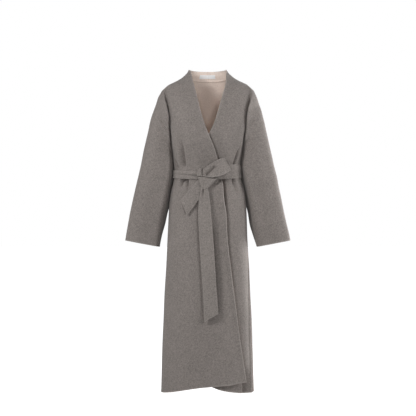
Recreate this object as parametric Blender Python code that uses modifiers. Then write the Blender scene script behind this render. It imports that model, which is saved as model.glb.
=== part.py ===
"""Wrap coat: a long, filled-out coat with a grown-on collar, dropped sleeves and a tied belt.

Units are metres, +Z up, the front faces -Y and the wearer's left is +X.
The origin is where the wearer's shoulders carry the coat, between the two neck points.
Tables are in millimetres and degrees. Every wall is an open grid with a Solidify modifier.
An azimuth is the angle round the body: 0 at the centre front, positive to the wearer's left.
"""
import math

import bpy
import numpy as np

MM = 0.001
COLLECTION_NAME = "wrap_coat"

CLOTH = 2.4            # double-faced wool, both faces together
BELT_CLOTH = 3.2       # the belt is the cloth folded and pressed
SEAM_GAP = 0.4         # between the middles of two pieces at a seam
NECK_GAP = 0.8         # more for each piece where collar and back meet at an angle
RIDGE_GAP = 0.3        # more on the shoulder's ridge, where the walls lean apart
ARMHOLE_GAP = 0.9      # along the arm on each side of the slanting armhole seam
ARMPIT_GAP = 3.0       # and where the sleeve's seam turns under the arm
LAP_INSET = 4.6        # how far the left front lies under the right one
ARMPIT_Z = -240.0      # top of the side seam
CREASE_TOP_X = 158.0   # where the crease beside the arm meets the shoulder's ridge
RIDGE_LOWEST = -40.0    # the ridge is read from the widths above this height
TIP_GAP = 0.8          # more over the arm where the seam reaches the shoulder's ridge
PINCH_REACH = 24.0     # round the armpit the seams press the wall thinner
PINCH_LEAST = 0.35

# ---- the general figure's form, one row for each level, outer face of the cloth ----
BODY = (
    ("z", "right", "left", "front", "back", "middle", "square", "seam_right", "seam_left"),
    (60.0, 62.0, 64.0, -14.0, 56.0, 3.0, 2.00, -90.0, 90.0),
    (41.0, 72.0, 73.0, -26.0, 58.0, 5.0, 2.00, -90.0, 90.0),
    (30.0, 80.0, 81.0, -36.0, 60.0, 8.0, 2.00, -90.0, 90.0),
    (20.0, 90.0, 91.0, -43.0, 62.0, 10.0, 2.00, -90.0, 90.0),
    (8.0, 104.0, 106.0, -50.0, 65.0, 12.0, 2.05, -90.0, 90.0),
    (-4.0, 124.0, 127.0, -55.0, 68.0, 12.0, 2.10, -90.0, 90.0),
    (-14.0, 145.0, 149.0, -60.0, 71.0, 12.0, 2.15, -90.0, 90.0),
    (-24.0, 163.0, 167.0, -66.0, 75.0, 12.0, 2.20, -90.0, 90.0),
    (-40.0, 172.0, 174.0, -75.0, 82.0, 12.0, 2.25, -90.0, 90.0),
    (-58.0, 173.0, 175.0, -84.0, 88.0, 11.0, 2.30, -90.0, 90.0),
    (-98.0, 167.0, 170.0, -98.0, 98.0, 10.0, 2.40, -90.0, 90.0),
    (-130.0, 162.0, 164.0, -108.0, 104.0, 9.0, 2.40, -90.0, 90.0),
    (-175.0, 156.5, 157.5, -119.0, 107.0, 8.0, 2.40, -90.0, 90.0),
    (-240.0, 147.0, 144.0, -123.0, 101.0, 5.0, 2.35, -88.0, 88.0),
    (-300.0, 139.0, 135.0, -108.0, 92.0, 2.0, 2.30, -87.0, 87.0),
    (-345.0, 135.0, 130.0, -97.0, 86.0, 0.0, 2.25, -87.0, 87.0),
    (-372.0, 133.0, 129.0, -94.0, 84.0, 0.0, 2.25, -86.0, 86.0),
    (-400.0, 137.0, 135.0, -96.0, 88.0, 0.0, 2.25, -86.0, 86.0),
    (-458.0, 149.0, 149.0, -108.0, 106.0, 1.0, 2.25, -85.0, 84.0),
    (-520.0, 154.5, 155.0, -115.0, 120.0, 2.0, 2.25, -85.0, 82.0),
    (-640.0, 161.0, 159.0, -121.0, 128.0, 2.0, 2.30, -85.0, 79.0),
    (-800.0, 170.0, 168.0, -126.0, 131.0, 2.0, 2.30, -84.0, 76.0),
    (-960.0, 177.0, 176.0, -131.0, 135.0, 2.0, 2.35, -84.0, 74.0),
    (-1120.0, 183.0, 181.0, -136.0, 140.0, 2.0, 2.35, -84.0, 72.0),
    (-1260.0, 187.0, 187.5, -141.0, 145.0, 2.0, 2.35, -84.0, 70.0),
)

# ---- the fronts' free edge, from the collar's side down the neckline to the hem ----
FRONT_EDGE = (
    ("z", "right_front", "left_front"),
    (41.0, -72.0, 73.0),
    (37.0, -67.5, 74.5),
    (-12.0, -56.5, 72.0),
    (-64.0, -43.5, 58.5),
    (-129.0, -27.5, 39.5),
    (-180.0, -12.0, 23.5),
    (-221.0, 4.0, 4.0),
    (-275.0, 25.5, -22.0),
    (-320.0, 38.5, -38.0),
    (-403.0, 56.0, -56.0),
    (-484.0, 63.0, -63.0),
    (-535.0, 71.0, -71.0),
    (-635.0, 76.0, -76.0),
    (-760.0, 90.0, -90.0),
    (-861.0, 102.5, -102.0),
    (-962.0, 115.0, -115.0),
    (-1062.0, 128.0, -128.0),
    (-1202.0, 148.0, -148.0),
)
FRONT_HEM = (
    ("x", "right_front", "left_front"),
    (-187.0, -1247.0, -1199.0),
    (-144.0, -1240.0, -1202.0),
    (-90.0, -1230.0, -1207.0),
    (-33.0, -1221.0, -1205.0),
    (17.0, -1216.0, -1217.5),
    (50.0, -1214.0, -1230.0),
    (89.0, -1211.0, -1238.0),
    (118.0, -1206.0, -1242.0),
    (149.0, -1201.0, -1245.0),
    (187.0, -1196.0, -1244.0),
)

# ---- neck: collar stand between the back-neck seam and its top edge ----
NECK = {
    "point_z": 13.0,        # neck point, where shoulder seam and back-neck seam meet
    "seam_drop": 21.0,      # the back-neck seam's fall to the centre back
    "top_z": 41.0,          # collar's top edge at the side of the neck
    "top_drop": 5.0,        # its fall to the centre back
    "top_back_y": 58.0,     # its centre back
}

# ---- shoulder caps and sleeves: outer and inner edge as seen from the front ----
SLEEVE_EDGE = (
    ("z", "outer_right", "outer_left", "inner_right", "inner_left", "inner_y"),
    (-20.0, 163.0, 167.0, 158.0, 158.0, 0.0),
    (-42.0, 183.0, 184.0, 165.0, 166.0, 0.0),
    (-58.0, 191.0, 189.0, 167.0, 169.0, 0.0),
    (-72.0, 199.0, 197.0, 165.0, 168.0, 0.0),
    (-98.0, 207.0, 205.0, 160.0, 163.0, 0.0),
    (-120.0, 215.0, 213.0, 157.0, 159.0, 0.0),
    (-168.0, 231.0, 226.0, 152.0, 153.0, 0.0),
    (-205.0, 239.0, 234.0, 148.5, 147.0, 2.0),
    (-240.0, 247.0, 242.0, 148.0, 145.0, 0.0),
    (-260.0, 251.5, 246.5, 146.0, 142.8, 10.0),
    (-275.0, 255.0, 250.0, 142.3, 139.0, 22.0),
    (-300.0, 260.0, 256.0, 136.5, 132.5, 38.0),
    (-345.0, 269.0, 266.0, 129.0, 124.5, 55.0),
    (-392.0, 280.0, 278.0, 129.0, 128.0, 60.0),
    (-430.0, 288.5, 285.0, 136.0, 135.0, 58.0),
    (-460.0, 295.0, 292.0, 142.0, 142.0, 54.0),
    (-500.0, 304.0, 300.0, 152.0, 152.0, 46.0),
    (-532.0, 311.0, 306.0, 160.5, 160.0, 38.0),
    (-576.0, 319.0, 315.0, 170.5, 168.0, 27.0),
    (-624.0, 327.0, 326.0, 184.0, 182.0, 15.0),
    (-667.0, 333.0, 333.0, 193.0, 196.0, 8.0),
)
SLEEVE_FORM = (
    ("share", "outer_y", "front", "back", "wrap", "bow"),
    (0.00, 9.0, 43.0, 50.0, 96.0, 17.0),
    (0.03, 9.3, 45.0, 50.0, 136.0, 15.0),
    (0.10, 10.0, 50.0, 51.0, 150.0, 11.0),
    (0.22, 11.0, 57.0, 48.0, 168.0, 5.0),
    (0.40, 10.0, 60.0, 42.0, 180.0, 0.0),
    (0.70, 6.0, 52.0, 44.0, 180.0, 0.0),
    (1.00, 2.0, 39.0, 40.0, 180.0, 0.0),
)
ARC_POWER = 2.5         # how square an arm's half rings are, 2 for an ellipse
ARC_LEAST = 0.72        # height of a squared half ring whose wrap is 140 degrees or less
ARC_EASE = 0.30         # share across over which the squaring sets in
ARC_SEAM = 0.15         # how much of the squaring is left at the armhole seam
CREASE_WRAP = 44.0      # further turn of the cap into its crease, above the armpit
OVER_ARM_Z = -136.0     # dropped armhole seam on the outside of the arm
CAP_TOP_Z = -42.0       # outside end of the cap's first row
CUFF_OUTER_Z = -642.0
CUFF_INNER_Z = -667.0

# ---- largest folds: a line from top to bottom on one side, a height (- is a trough) ----
FOLD_COLUMNS = ("x_top", "z_top", "x_bottom", "z_bottom", "height", "width", "fade_top", "fade_bottom")
RIGHT_FRONT_FOLDS = (
    (-104.0, -190.0, -85.0, -344.0, -6.0, 13.0, 0.5, 0.1),
    (-123.0, -200.0, -112.0, -344.0, 4.0, 12.0, 0.5, 0.2),
    (-127.0, -318.0, -124.0, -348.0, -6.0, 12.0, 0.6, 0.2),
    (-103.0, -396.0, -116.0, -468.0, -7.0, 8.0, 0.1, 0.6),
    (-82.0, -396.0, -72.0, -474.0, -7.0, 8.0, 0.1, 0.6),
    (-150.0, -430.0, -165.0, -1247.0, 3.5, 22.0, 0.3, 0.1),
)
LEFT_FRONT_FOLDS = (
    (136.0, -222.0, 110.0, -344.0, 5.0, 11.0, 0.5, 0.2),
    (124.0, -216.0, 113.0, -344.0, -7.0, 10.0, 0.5, 0.1),
    (72.0, -396.0, 78.0, -560.0, -9.0, 13.0, 0.1, 0.6),
    (96.0, -398.0, 131.0, -512.0, -7.0, 9.0, 0.1, 0.6),
    (116.0, -398.0, 140.0, -560.0, 4.0, 14.0, 0.2, 0.6),
    (158.0, -560.0, 168.0, -1250.0, 4.0, 16.0, 0.4, 0.05),
)
BACK_FOLDS = (
    (-104.0, -180.0, -84.0, -344.0, -7.0, 15.0, 0.6, 0.1),
    (-40.0, -230.0, -46.0, -344.0, -5.0, 14.0, 0.7, 0.1),
    (8.0, -250.0, 6.0, -344.0, 5.0, 16.0, 0.7, 0.1),
    (58.0, -215.0, 50.0, -344.0, -6.0, 14.0, 0.7, 0.1),
    (112.0, -190.0, 90.0, -344.0, -7.0, 15.0, 0.6, 0.1),
    (-92.0, -396.0, -112.0, -620.0, -8.0, 13.0, 0.1, 0.7),
    (-40.0, -396.0, -52.0, -760.0, -8.0, 14.0, 0.1, 0.7),
    (18.0, -396.0, 22.0, -560.0, -6.0, 12.0, 0.1, 0.7),
    (70.0, -396.0, 88.0, -700.0, -8.0, 14.0, 0.1, 0.7),
    (-60.0, -700.0, -78.0, -1250.0, 6.0, 30.0, 0.5, 0.05),
    (40.0, -620.0, 56.0, -1250.0, 6.0, 32.0, 0.5, 0.05),
)
SLEEVE_FOLDS = (
    ("share", "azimuth", "height", "length", "width"),
    (0.16, 150.0, -5.0, 0.07, 34.0),
    (0.30, 205.0, -5.0, 0.08, 40.0),
    (0.46, 160.0, -4.0, 0.10, 30.0),
    (0.55, 250.0, -4.0, 0.09, 36.0),
)

# ---- belt: the band round the waist, from under the knot right round the body ----
BAND = (
    ("azimuth", "top", "bottom", "hump"),
    (-358.0, -345.0, -398.0, 0.4),
    (-330.0, -341.0, -397.0, 0.6),
    (-300.0, -339.0, -393.0, 1.0),
    (-268.0, -343.0, -390.0, 1.4),
    (-220.0, -346.0, -396.0, 1.6),
    (-180.0, -349.0, -398.0, 1.6),
    (-135.0, -353.0, -396.0, 2.0),
    (-90.0, -361.0, -392.0, 2.6),
    (-50.0, -364.0, -395.0, 2.8),
    (-7.0, -369.0, -399.0, 3.0),
)
# the tied pieces, as seen from the front: left and right edge, height above the coat's face
TAIL_COLUMNS = ("left_x", "left_z", "right_x", "right_z", "stand_left", "stand_right")
SHORT_TAIL = (
    (-33.0, -402.0, -14.0, -412.0, 8.5, 8.5),
    (-45.0, -413.0, -12.0, -436.0, 5.0, 3.6),
    (-63.0, -436.0, -22.0, -464.0, 3.6, 2.2),
    (-80.0, -460.0, -45.0, -497.0, 3.4, 2.2),
    (-94.0, -480.0, -75.0, -540.0, 3.6, 3.0),
)
LONG_TAIL = (
    (-24.0, -428.4, -3.0, -428.4, 19.0, 18.6),
    (-26.0, -450.0, 3.0, -446.0, 13.0, 14.0),
    (-33.0, -483.0, 8.0, -483.0, 10.0, 12.0),
    (-35.0, -557.0, 14.0, -557.0, 9.5, 13.0),
    (-28.0, -677.0, 21.5, -677.0, 8.0, 13.0),
    (-18.0, -835.0, 31.0, -835.0, 7.0, 12.0),
    (-15.0, -890.0, 34.0, -878.0, 6.5, 11.0),
    (-12.0, -960.0, 37.0, -928.0, 6.5, 10.0),
)
LOOP = (
    ("share", "x", "top", "bottom", "stand"),
    (0.00, -3.0, -366.0, -387.0, 29.5),
    (0.16, 8.0, -355.0, -389.0, 29.0),
    (0.33, 27.0, -332.0, -384.0, 27.0),
    (0.46, 53.0, -316.0, -372.0, 20.0),
    (0.50, 62.0, -318.0, -369.0, 13.5),
    (0.54, 56.0, -322.0, -371.0, 8.6),
    (0.70, 30.0, -336.0, -380.0, 6.9),
    (1.00, 14.0, -346.0, -386.0, 6.9),
)
KNOT = (
    ("z", "left", "right", "low", "high"),
    (-355.0, -29.0, -19.0, 8.4, 14.0),
    (-363.0, -34.0, -12.0, 8.0, 20.0),
    (-375.0, -38.0, -8.0, 7.8, 25.0),
    (-391.0, -39.0, 8.0, 7.6, 27.0),
    (-396.0, -37.0, 30.0, 7.4, 27.0),
    (-405.0, -34.0, 20.0, 13.6, 26.0),
    (-419.0, -29.0, 9.0, 15.0, 23.5),
    (-428.0, -26.0, 1.0, 17.0, 22.0),
)
LABEL = {"from_azimuth": -22.0, "to_azimuth": 25.0, "low": 0.30, "high": 0.64, "thickness": 0.6}

# ---- how finely the grids are cut ----
ROWS_BELOW = 22         # hem to armpit
ROWS_NECK = 7           # shoulder seam to centre back, on the collar strip
STRIP_COLUMNS = 3       # collar strip
FRONT_COLUMNS = 18      # front edge to side seam
ARC_SHARES = (0.0, 0.06, 0.2, 0.34, 0.48, 0.62, 0.76, 0.88, 1.0)
CAP_COLUMNS = len(ARC_SHARES) - 1     # outside of the arm to the crease, on caps and sleeves alike
BACK_COLUMNS = 14       # centre back to side seam
SLEEVE_SHARES = (0.0, 0.03, 0.07, 0.13, 0.2, 0.28, 0.36, 0.45, 0.54, 0.63, 0.72, 0.81, 0.91, 1.0)
SHARES_ABOVE = (0.0, 0.09, 0.18, 0.28, 0.38, 0.49, 0.6, 0.71, 0.81, 0.89, 0.95, 0.98, 1.0)
ROWS_ABOVE = len(SHARES_ABOVE) - 1    # armpit to shoulder seam, closer under the ridge
ROW_HEIGHTS = (
    -1250, -1170, -1080, -990, -900, -810, -730, -660, -600, -550, -505, -468,
    -436, -412, -397, -372, -346, -333, -316, -296, -276, -258, -240,
)


def columns_of(table):
    """Turn a table whose first row holds the names into a dict of arrays."""
    names, *rows = table
    return dict(zip(names, np.array(rows, dtype=float).T))


def smooth_curve(key, keys, values):
    """Cubic curve through the points of a table that never swings past them."""
    key = np.asarray(key, dtype=float)
    order = np.argsort(keys)
    keys, values = np.asarray(keys)[order], np.asarray(values)[order]
    step = np.diff(keys)
    rise = np.diff(values) / step
    inner = np.where(
        rise[:-1] * rise[1:] > 0.0,
        2.0 * rise[:-1] * rise[1:] / np.where(rise[:-1] + rise[1:] == 0.0, 1.0, rise[:-1] + rise[1:]),
        0.0,
    )
    slope = np.concatenate([[rise[0]], inner, [rise[-1]]])
    key = np.clip(key, keys[0], keys[-1])
    index = np.clip(np.searchsorted(keys, key) - 1, 0, len(step) - 1)
    part = (key - keys[index]) / step[index]
    square, cube = part * part, part * part * part
    return (
        (2 * cube - 3 * square + 1) * values[index]
        + (cube - 2 * square + part) * step[index] * slope[index]
        + (3 * square - 2 * cube) * values[index + 1]
        + (cube - square) * step[index] * slope[index + 1]
    )


def smooth_step(value):
    """Ease from 0 to 1."""
    value = np.clip(value, 0.0, 1.0)
    return value * value * (3.0 - 2.0 * value)


BODY_OF = columns_of(BODY)
EDGE_OF = columns_of(FRONT_EDGE)
HEM_OF = columns_of(FRONT_HEM)
ARM_OF = columns_of(SLEEVE_EDGE)
ARM_FORM_OF = columns_of(SLEEVE_FORM)


def body(name, z):
    """A size of the body's form at height z."""
    return smooth_curve(z, BODY_OF["z"], BODY_OF[name])


def half_width(x_sign, z):
    """Half of the body's width on one side, to the middle of the cloth."""
    return np.where(np.asarray(x_sign) < 0, body("right", z), body("left", z)) - CLOTH / 2


def body_point(azimuth, z, out=0.0):
    """Point of the cloth's middle at an azimuth and height: an ellipse with squared sides."""
    turn = np.radians(azimuth)
    sine, cosine = np.sin(turn), np.cos(turn)
    power = 2.0 / body("square", z)
    middle = body("middle", z)
    depth = np.where(cosine > 0, middle - body("front", z), body("back", z) - middle) - CLOTH / 2
    x = (half_width(sine, z) + out) * np.sign(sine) * np.abs(sine) ** power
    y = middle - (depth + out) * np.sign(cosine) * np.abs(cosine) ** power
    return np.stack(np.broadcast_arrays(x, y, z), axis=-1)


def azimuth_at(x, z, behind=False):
    """Azimuth whose body point lies at x, in front or behind."""
    ratio = np.clip(np.abs(x) / half_width(x, z), 0.0, 1.0)
    turn = np.degrees(np.arcsin(ratio ** (body("square", z) / 2.0)))
    turn = np.where(behind, 180.0 - turn, turn)
    return np.where(np.asarray(x) < 0, -turn, turn)


def outward(points):
    """Level unit vector that points away from the body's middle."""
    x, y, z = points[..., 0], points[..., 1], points[..., 2]
    middle = body("middle", z)
    depth = np.where(y < middle, middle - body("front", z), body("back", z) - middle)
    direction = np.stack([x / half_width(x, z) ** 2, (y - middle) / depth**2, np.zeros_like(x)], axis=-1)
    return direction / np.maximum(np.linalg.norm(direction, axis=-1, keepdims=True), 1e-9)


def folded(points, folds):
    """Push a panel's points out or in along each fold's line, a soft ridge or trough."""
    x, z = points[..., 0], points[..., 2]
    push = np.zeros_like(x)
    for row in folds:
        fold = dict(zip(FOLD_COLUMNS, row))
        along = (fold["z_top"] - z) / (fold["z_top"] - fold["z_bottom"])
        centre = fold["x_top"] + (fold["x_bottom"] - fold["x_top"]) * along
        ends = smooth_step(along / fold["fade_top"]) * smooth_step((1.0 - along) / fold["fade_bottom"])
        push += fold["height"] * ends * np.exp(-(((x - centre) / fold["width"]) ** 2))
    return points + push[..., None] * outward(points)


# ---- shared lines: neck point, ridge of the shoulder, crease beside the arm, armhole ----
def neck_point(side):
    """Where the shoulder seam meets the collar; side is -1 for the wearer's right."""
    z = NECK["point_z"]
    return np.array([side * float(half_width(side, z)), float(body("middle", z)), z])


def ridge_z(side, x):
    """Height of the shoulder's ridge at x: the upper levels' widths read backwards, at fine steps."""
    heights = np.linspace(BODY_OF["z"].max(), RIDGE_LOWEST, 1001)
    return np.interp(np.abs(x), half_width(side, heights), heights)


def crease(side, share, behind):
    """Valley between the body and the arm, from the armpit (0) to the shoulder's ridge (1)."""
    top_x = side * CREASE_TOP_X
    top_z = ridge_z(side, top_x)
    z = ARMPIT_Z + (top_z - ARMPIT_Z) * (1.0 - (1.0 - share) ** 1.5)
    name = "inner_right" if side < 0 else "inner_left"
    x = side * (smooth_curve(z, ARM_OF["z"], ARM_OF[name]) - CLOTH / 2)
    ease = float(smooth_step(share / 0.28))
    turn = 88.0 + (min(abs(float(azimuth_at(x, z))), 88.0) - 88.0) * ease
    turn = 90.0 if share == 1.0 else turn
    if behind:
        turn = 180.0 - turn - 4.0 * (1.0 - ease)
    return body_point(side * turn, z)


def over_arm(side, share):
    """Outside of the arm, from the dropped armhole seam (0) to the cap's first row (1)."""
    name = "outer_right" if side < 0 else "outer_left"
    z = OVER_ARM_Z + (CAP_TOP_Z - OVER_ARM_Z) * share
    x = side * (smooth_curve(z, ARM_OF["z"], ARM_OF[name]) - CLOTH / 2)
    y = 9.0 + (12.0 - 9.0) * share
    return np.stack(np.broadcast_arrays(x, y, z), axis=-1)


def arm_arc(inner, outer, turn, wrap, bulge, bow):
    """Half ring of an arm: from the outside (turn 0) to the crease (turn = wrap).

    Away from the inner end the ring is squared off, as wide flat sleeves hang.
    """
    edge = np.cos(np.radians(wrap))
    across = (np.cos(np.radians(turn)) - edge) / (1.0 - edge)
    rise = np.sin(np.radians(turn)) - np.sin(np.radians(wrap)) * (1.0 - across)
    full = ARC_LEAST + (1.0 - ARC_LEAST) * smooth_step((wrap - 140.0) / 40.0)
    squared = np.clip(1.0 - np.abs(2.0 * across - 1.0) ** ARC_POWER, 0.0, 1.0) ** (1.0 / ARC_POWER)
    open_wrap = wrap - ARM_FORM_OF["wrap"][0]
    ease = ARC_EASE * (2.2 - 1.2 * smooth_step(open_wrap / 40.0))
    squaring = ARC_SEAM + (1.0 - ARC_SEAM) * smooth_step(open_wrap / 30.0)
    rise = rise + (full * squared - rise) * smooth_step(across / ease) * squaring
    points = inner + (outer - inner) * across[..., None]
    points[..., 1] += bulge * rise
    points[..., 2] += bow * rise
    return points


def cap(side, behind):
    """Cap over the shoulder: a row for each row of the panel, from crease to over-arm line.

    The bulge shrinks to nothing at the shoulder's ridge, and there the points are evenly spaced.
    """
    rows = []
    size = ARM_FORM_OF["back" if behind else "front"][0]
    even = np.linspace(0.0, 1.0, CAP_COLUMNS + 1)
    for share in SHARES_ABOVE:
        wrap = ARM_FORM_OF["wrap"][0] + CREASE_WRAP * float(smooth_step(share / 0.25))
        round_turn = wrap * np.array(ARC_SHARES[::-1])
        level = np.degrees(np.arccos(np.cos(np.radians(wrap)) + (1.0 - np.cos(np.radians(wrap))) * even))
        turn = level + (round_turn - level) * smooth_step((1.0 - share) / 0.5)
        bulge = size * min(1.0, 1.3 * math.sqrt(1.0 - share))
        away = 1.0 if behind else -1.0
        row = arm_arc(
            crease(side, share, behind),
            over_arm(side, share),
            turn,
            wrap,
            away * bulge,
            ARM_FORM_OF["bow"][0] * (1.0 - share),
        )
        row[:, 1] += away * TIP_GAP * share**4 * even
        rows.append(row)
    return np.stack(rows)


# ---- panels ----
def front_panel(side):
    """Grid of one front with its grown-on collar; side is -1 for the wearer's right."""
    name = "right_front" if side < 0 else "left_front"
    seam_name = "seam_right" if side < 0 else "seam_left"
    rows = ROWS_BELOW + ROWS_ABOVE + ROWS_NECK + 1
    columns = FRONT_COLUMNS + CAP_COLUMNS + 1
    grid = np.full((rows, columns, 3), np.nan)
    across = np.arange(FRONT_COLUMNS + 1) / FRONT_COLUMNS

    # hem to armpit: even steps of azimuth from the free edge to the side seam
    heights = np.array(ROW_HEIGHTS, dtype=float)[:, None]
    edge_x = smooth_curve(heights, EDGE_OF["z"], EDGE_OF[name])
    start = azimuth_at(edge_x, heights)
    turn = start + (body(seam_name, heights) - start) * across
    x = body_point(turn, heights)[..., 0]
    hem = smooth_curve(x[:1], HEM_OF["x"], HEM_OF[name])
    z = ARMPIT_Z + (heights - ARMPIT_Z) * (hem - ARMPIT_Z) / (heights[0] - ARMPIT_Z)
    edge_x = smooth_curve(z, EDGE_OF["z"], EDGE_OF[name])
    start = azimuth_at(edge_x, z)
    grid[: ROWS_BELOW + 1, : FRONT_COLUMNS + 1] = body_point(start + (body(seam_name, z) - start) * across, z)

    # armpit to shoulder seam
    share = np.array(SHARES_ABOVE[1:])[:, None]
    base = grid[ROWS_BELOW, : FRONT_COLUMNS + 1]
    neck = neck_point(side)
    fold_z = ARMPIT_Z + (neck[2] - ARMPIT_Z) * (1.0 - (1.0 - share) ** 1.25)
    fold_x = base[STRIP_COLUMNS, 0] + (neck[0] - base[STRIP_COLUMNS, 0]) * smooth_step(share) ** 0.9
    edge_z = ARMPIT_Z + (NECK["top_z"] - ARMPIT_Z) * share
    edge_x = smooth_curve(edge_z, EDGE_OF["z"], EDGE_OF[name])
    strip = np.arange(STRIP_COLUMNS + 1) / STRIP_COLUMNS
    x = edge_x + (fold_x - edge_x) * strip
    z = edge_z + (fold_z - edge_z) * strip
    grid[ROWS_BELOW + 1 : ROWS_BELOW + ROWS_ABOVE + 1, : STRIP_COLUMNS + 1] = body_point(azimuth_at(x, z), z)

    valley = np.stack([crease(side, float(s), False) for s in share[:, 0]])
    place = (base[STRIP_COLUMNS:, 0] - base[STRIP_COLUMNS, 0]) / (base[-1, 0] - base[STRIP_COLUMNS, 0])
    even = np.linspace(0.0, 1.0, len(place))
    place = place + (even - place) * share
    x = fold_x + (valley[:, :1] - fold_x) * place
    fold_fall = (ridge_z(side, fold_x) - fold_z) / (ridge_z(side, fold_x) - ARMPIT_Z)
    valley_top = ridge_z(side, np.clip(np.abs(valley[:, :1]), 0.0, CREASE_TOP_X))
    valley_fall = (valley_top - valley[:, 2:]) / (valley_top - ARMPIT_Z)
    top = ridge_z(side, np.clip(np.abs(x), 0.0, CREASE_TOP_X))
    z = top - (top - ARMPIT_Z) * (fold_fall + (valley_fall - fold_fall) * place)
    block = body_point(np.where(share == 1.0, 90.0 * side, azimuth_at(x, z)), z)
    block[:, -1] = valley
    grid[ROWS_BELOW + 1 : ROWS_BELOW + ROWS_ABOVE + 1, STRIP_COLUMNS : FRONT_COLUMNS + 1] = block

    # round the neck to the centre back, on the collar strip alone
    for step in range(1, ROWS_NECK + 1):
        turn = math.pi / 2 * step / ROWS_NECK
        grid[ROWS_BELOW + ROWS_ABOVE + step, : STRIP_COLUMNS + 1] = collar_section(side, turn, strip)

    # cap over the shoulder
    grid[ROWS_BELOW : ROWS_BELOW + ROWS_ABOVE + 1, FRONT_COLUMNS:] = cap(side, False)
    return grid


def collar_section(side, turn, strip):
    """Points of the collar stand from its top edge (0) to the back-neck seam (1)."""
    top_half = float(half_width(side, NECK["top_z"]))
    top_y = float(body("middle", NECK["top_z"]))
    top = np.array([
        side * top_half * math.cos(turn),
        top_y + (NECK["top_back_y"] - top_y) * math.sin(turn),
        NECK["top_z"] - NECK["top_drop"] * math.sin(turn),
    ])
    low = back_neck_seam(side * float(half_width(side, NECK["point_z"])) * math.cos(turn))
    points = top + (low - top) * strip[:, None]
    lean = 3.0 * np.sin(math.pi * strip)
    points[:, 0] -= side * lean * math.cos(turn)
    points[:, 1] -= lean * math.sin(turn)
    return points


def back_neck_seam(x):
    """Point of the back-neck seam at x."""
    z = back_top_z(x)
    return body_point(azimuth_at(x, z, behind=True), z)


def back_top_z(x):
    """Top edge of the back: the neck seam's dip, then the shoulder's ridge."""
    x = np.asarray(x, dtype=float)
    half = half_width(x, NECK["point_z"])
    ratio = np.clip(np.abs(x) / half, 0.0, 1.0)
    dip = NECK["point_z"] - NECK["seam_drop"] * (1.0 - ratio**4)
    along = np.clip(np.abs(x), 0.0, CREASE_TOP_X)
    ridge = np.where(x < 0, ridge_z(-1, along), ridge_z(1, along))
    return np.where(np.abs(x) < half, dip, ridge)


def back_panel():
    """Grid of the back, from the wearer's right cap over the centre to the left cap."""
    rows = ROWS_BELOW + ROWS_ABOVE + 1
    half_columns = BACK_COLUMNS + CAP_COLUMNS
    grid = np.full((rows, 2 * half_columns + 1, 3), np.nan)
    across = np.arange(BACK_COLUMNS + 1) / BACK_COLUMNS
    heights = np.array(ROW_HEIGHTS, dtype=float)[:, None]
    neck_columns = 6
    for side in (-1, 1):
        seam = np.abs(body("seam_right" if side < 0 else "seam_left", heights))
        turn = 180.0 + (seam - 180.0) * across
        below = body_point(side * turn, heights)
        share = np.array(SHARES_ABOVE[1:])[:, None]
        base_x = below[-1, :, 0]
        valley = np.stack([crease(side, float(s), True) for s in share[:, 0]])
        neck_x = neck_point(side)[0]
        top_x = np.concatenate([
            neck_x * np.sin(np.linspace(0.0, math.pi / 2, neck_columns + 1)),
            np.linspace(neck_x, side * CREASE_TOP_X, BACK_COLUMNS - neck_columns + 1)[1:],
        ])
        x = base_x + (top_x - base_x) * smooth_step(share)
        x = x + (valley[:, :1] - x[:, -1:]) * across
        beside_neck = smooth_step((np.abs(top_x) / abs(neck_x) - 0.75) / 0.5)
        fall = (1.0 - share) ** (1.0 + 0.5 * beside_neck)
        top = back_top_z(x)
        z = top - (top - ARMPIT_Z) * fall
        on_ridge = (share == 1.0) & (np.abs(x) >= abs(neck_x) - 0.001)
        above = body_point(np.where(on_ridge, 90.0 * side, azimuth_at(x, z, behind=True)), z)
        above[:, -1] = valley
        block = np.concatenate([below, above])
        shoulder = cap(side, True)
        if side < 0:
            grid[:, CAP_COLUMNS : half_columns + 1] = block[:, ::-1]
            grid[ROWS_BELOW:, : CAP_COLUMNS + 1] = shoulder[:, ::-1]
        else:
            grid[:, half_columns : half_columns + BACK_COLUMNS + 1] = block
            grid[ROWS_BELOW:, half_columns + BACK_COLUMNS :] = shoulder
    return grid


def sleeve(side):
    """Closed rings of one sleeve, from the armhole seam to the cuff."""
    right = side < 0
    outer_name, inner_name = ("outer_right", "inner_right") if right else ("outer_left", "inner_left")
    armpit = crease(side, 0.0, False)
    start = over_arm(side, 0.0)
    rings = []
    for share in SLEEVE_SHARES:
        shares = ARM_FORM_OF["share"]
        form = {key: float(smooth_curve(share, shares, values)) for key, values in ARM_FORM_OF.items()}
        outer_z = start[2] + (CUFF_OUTER_Z - start[2]) * share
        inner_z = armpit[2] + (CUFF_INNER_Z - armpit[2]) * share
        outer_x = side * (float(smooth_curve(outer_z, ARM_OF["z"], ARM_OF[outer_name])) - CLOTH / 2)
        inner_x = side * (float(smooth_curve(inner_z, ARM_OF["z"], ARM_OF[inner_name])) + CLOTH / 2)
        blend = float(smooth_step(share / 0.12))
        inner_y = float(smooth_curve(inner_z, ARM_OF["z"], ARM_OF["inner_y"]))
        outer = np.array([outer_x, form["outer_y"], outer_z])
        inner = armpit + np.array([side * ARMPIT_GAP, 0.0, 0.0])
        inner = inner + (np.array([inner_x, inner_y, inner_z]) - inner) * blend
        inner[2] = inner_z - ARMPIT_GAP / 2
        turn = form["wrap"] * np.array(ARC_SHARES)
        front = arm_arc(inner, outer, turn, form["wrap"], -form["front"], form["bow"])
        rear = arm_arc(inner, outer, turn, form["wrap"], form["back"], form["bow"])
        rings.append(np.concatenate([front, rear[-2:0:-1]]))
    return np.stack(rings)


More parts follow.
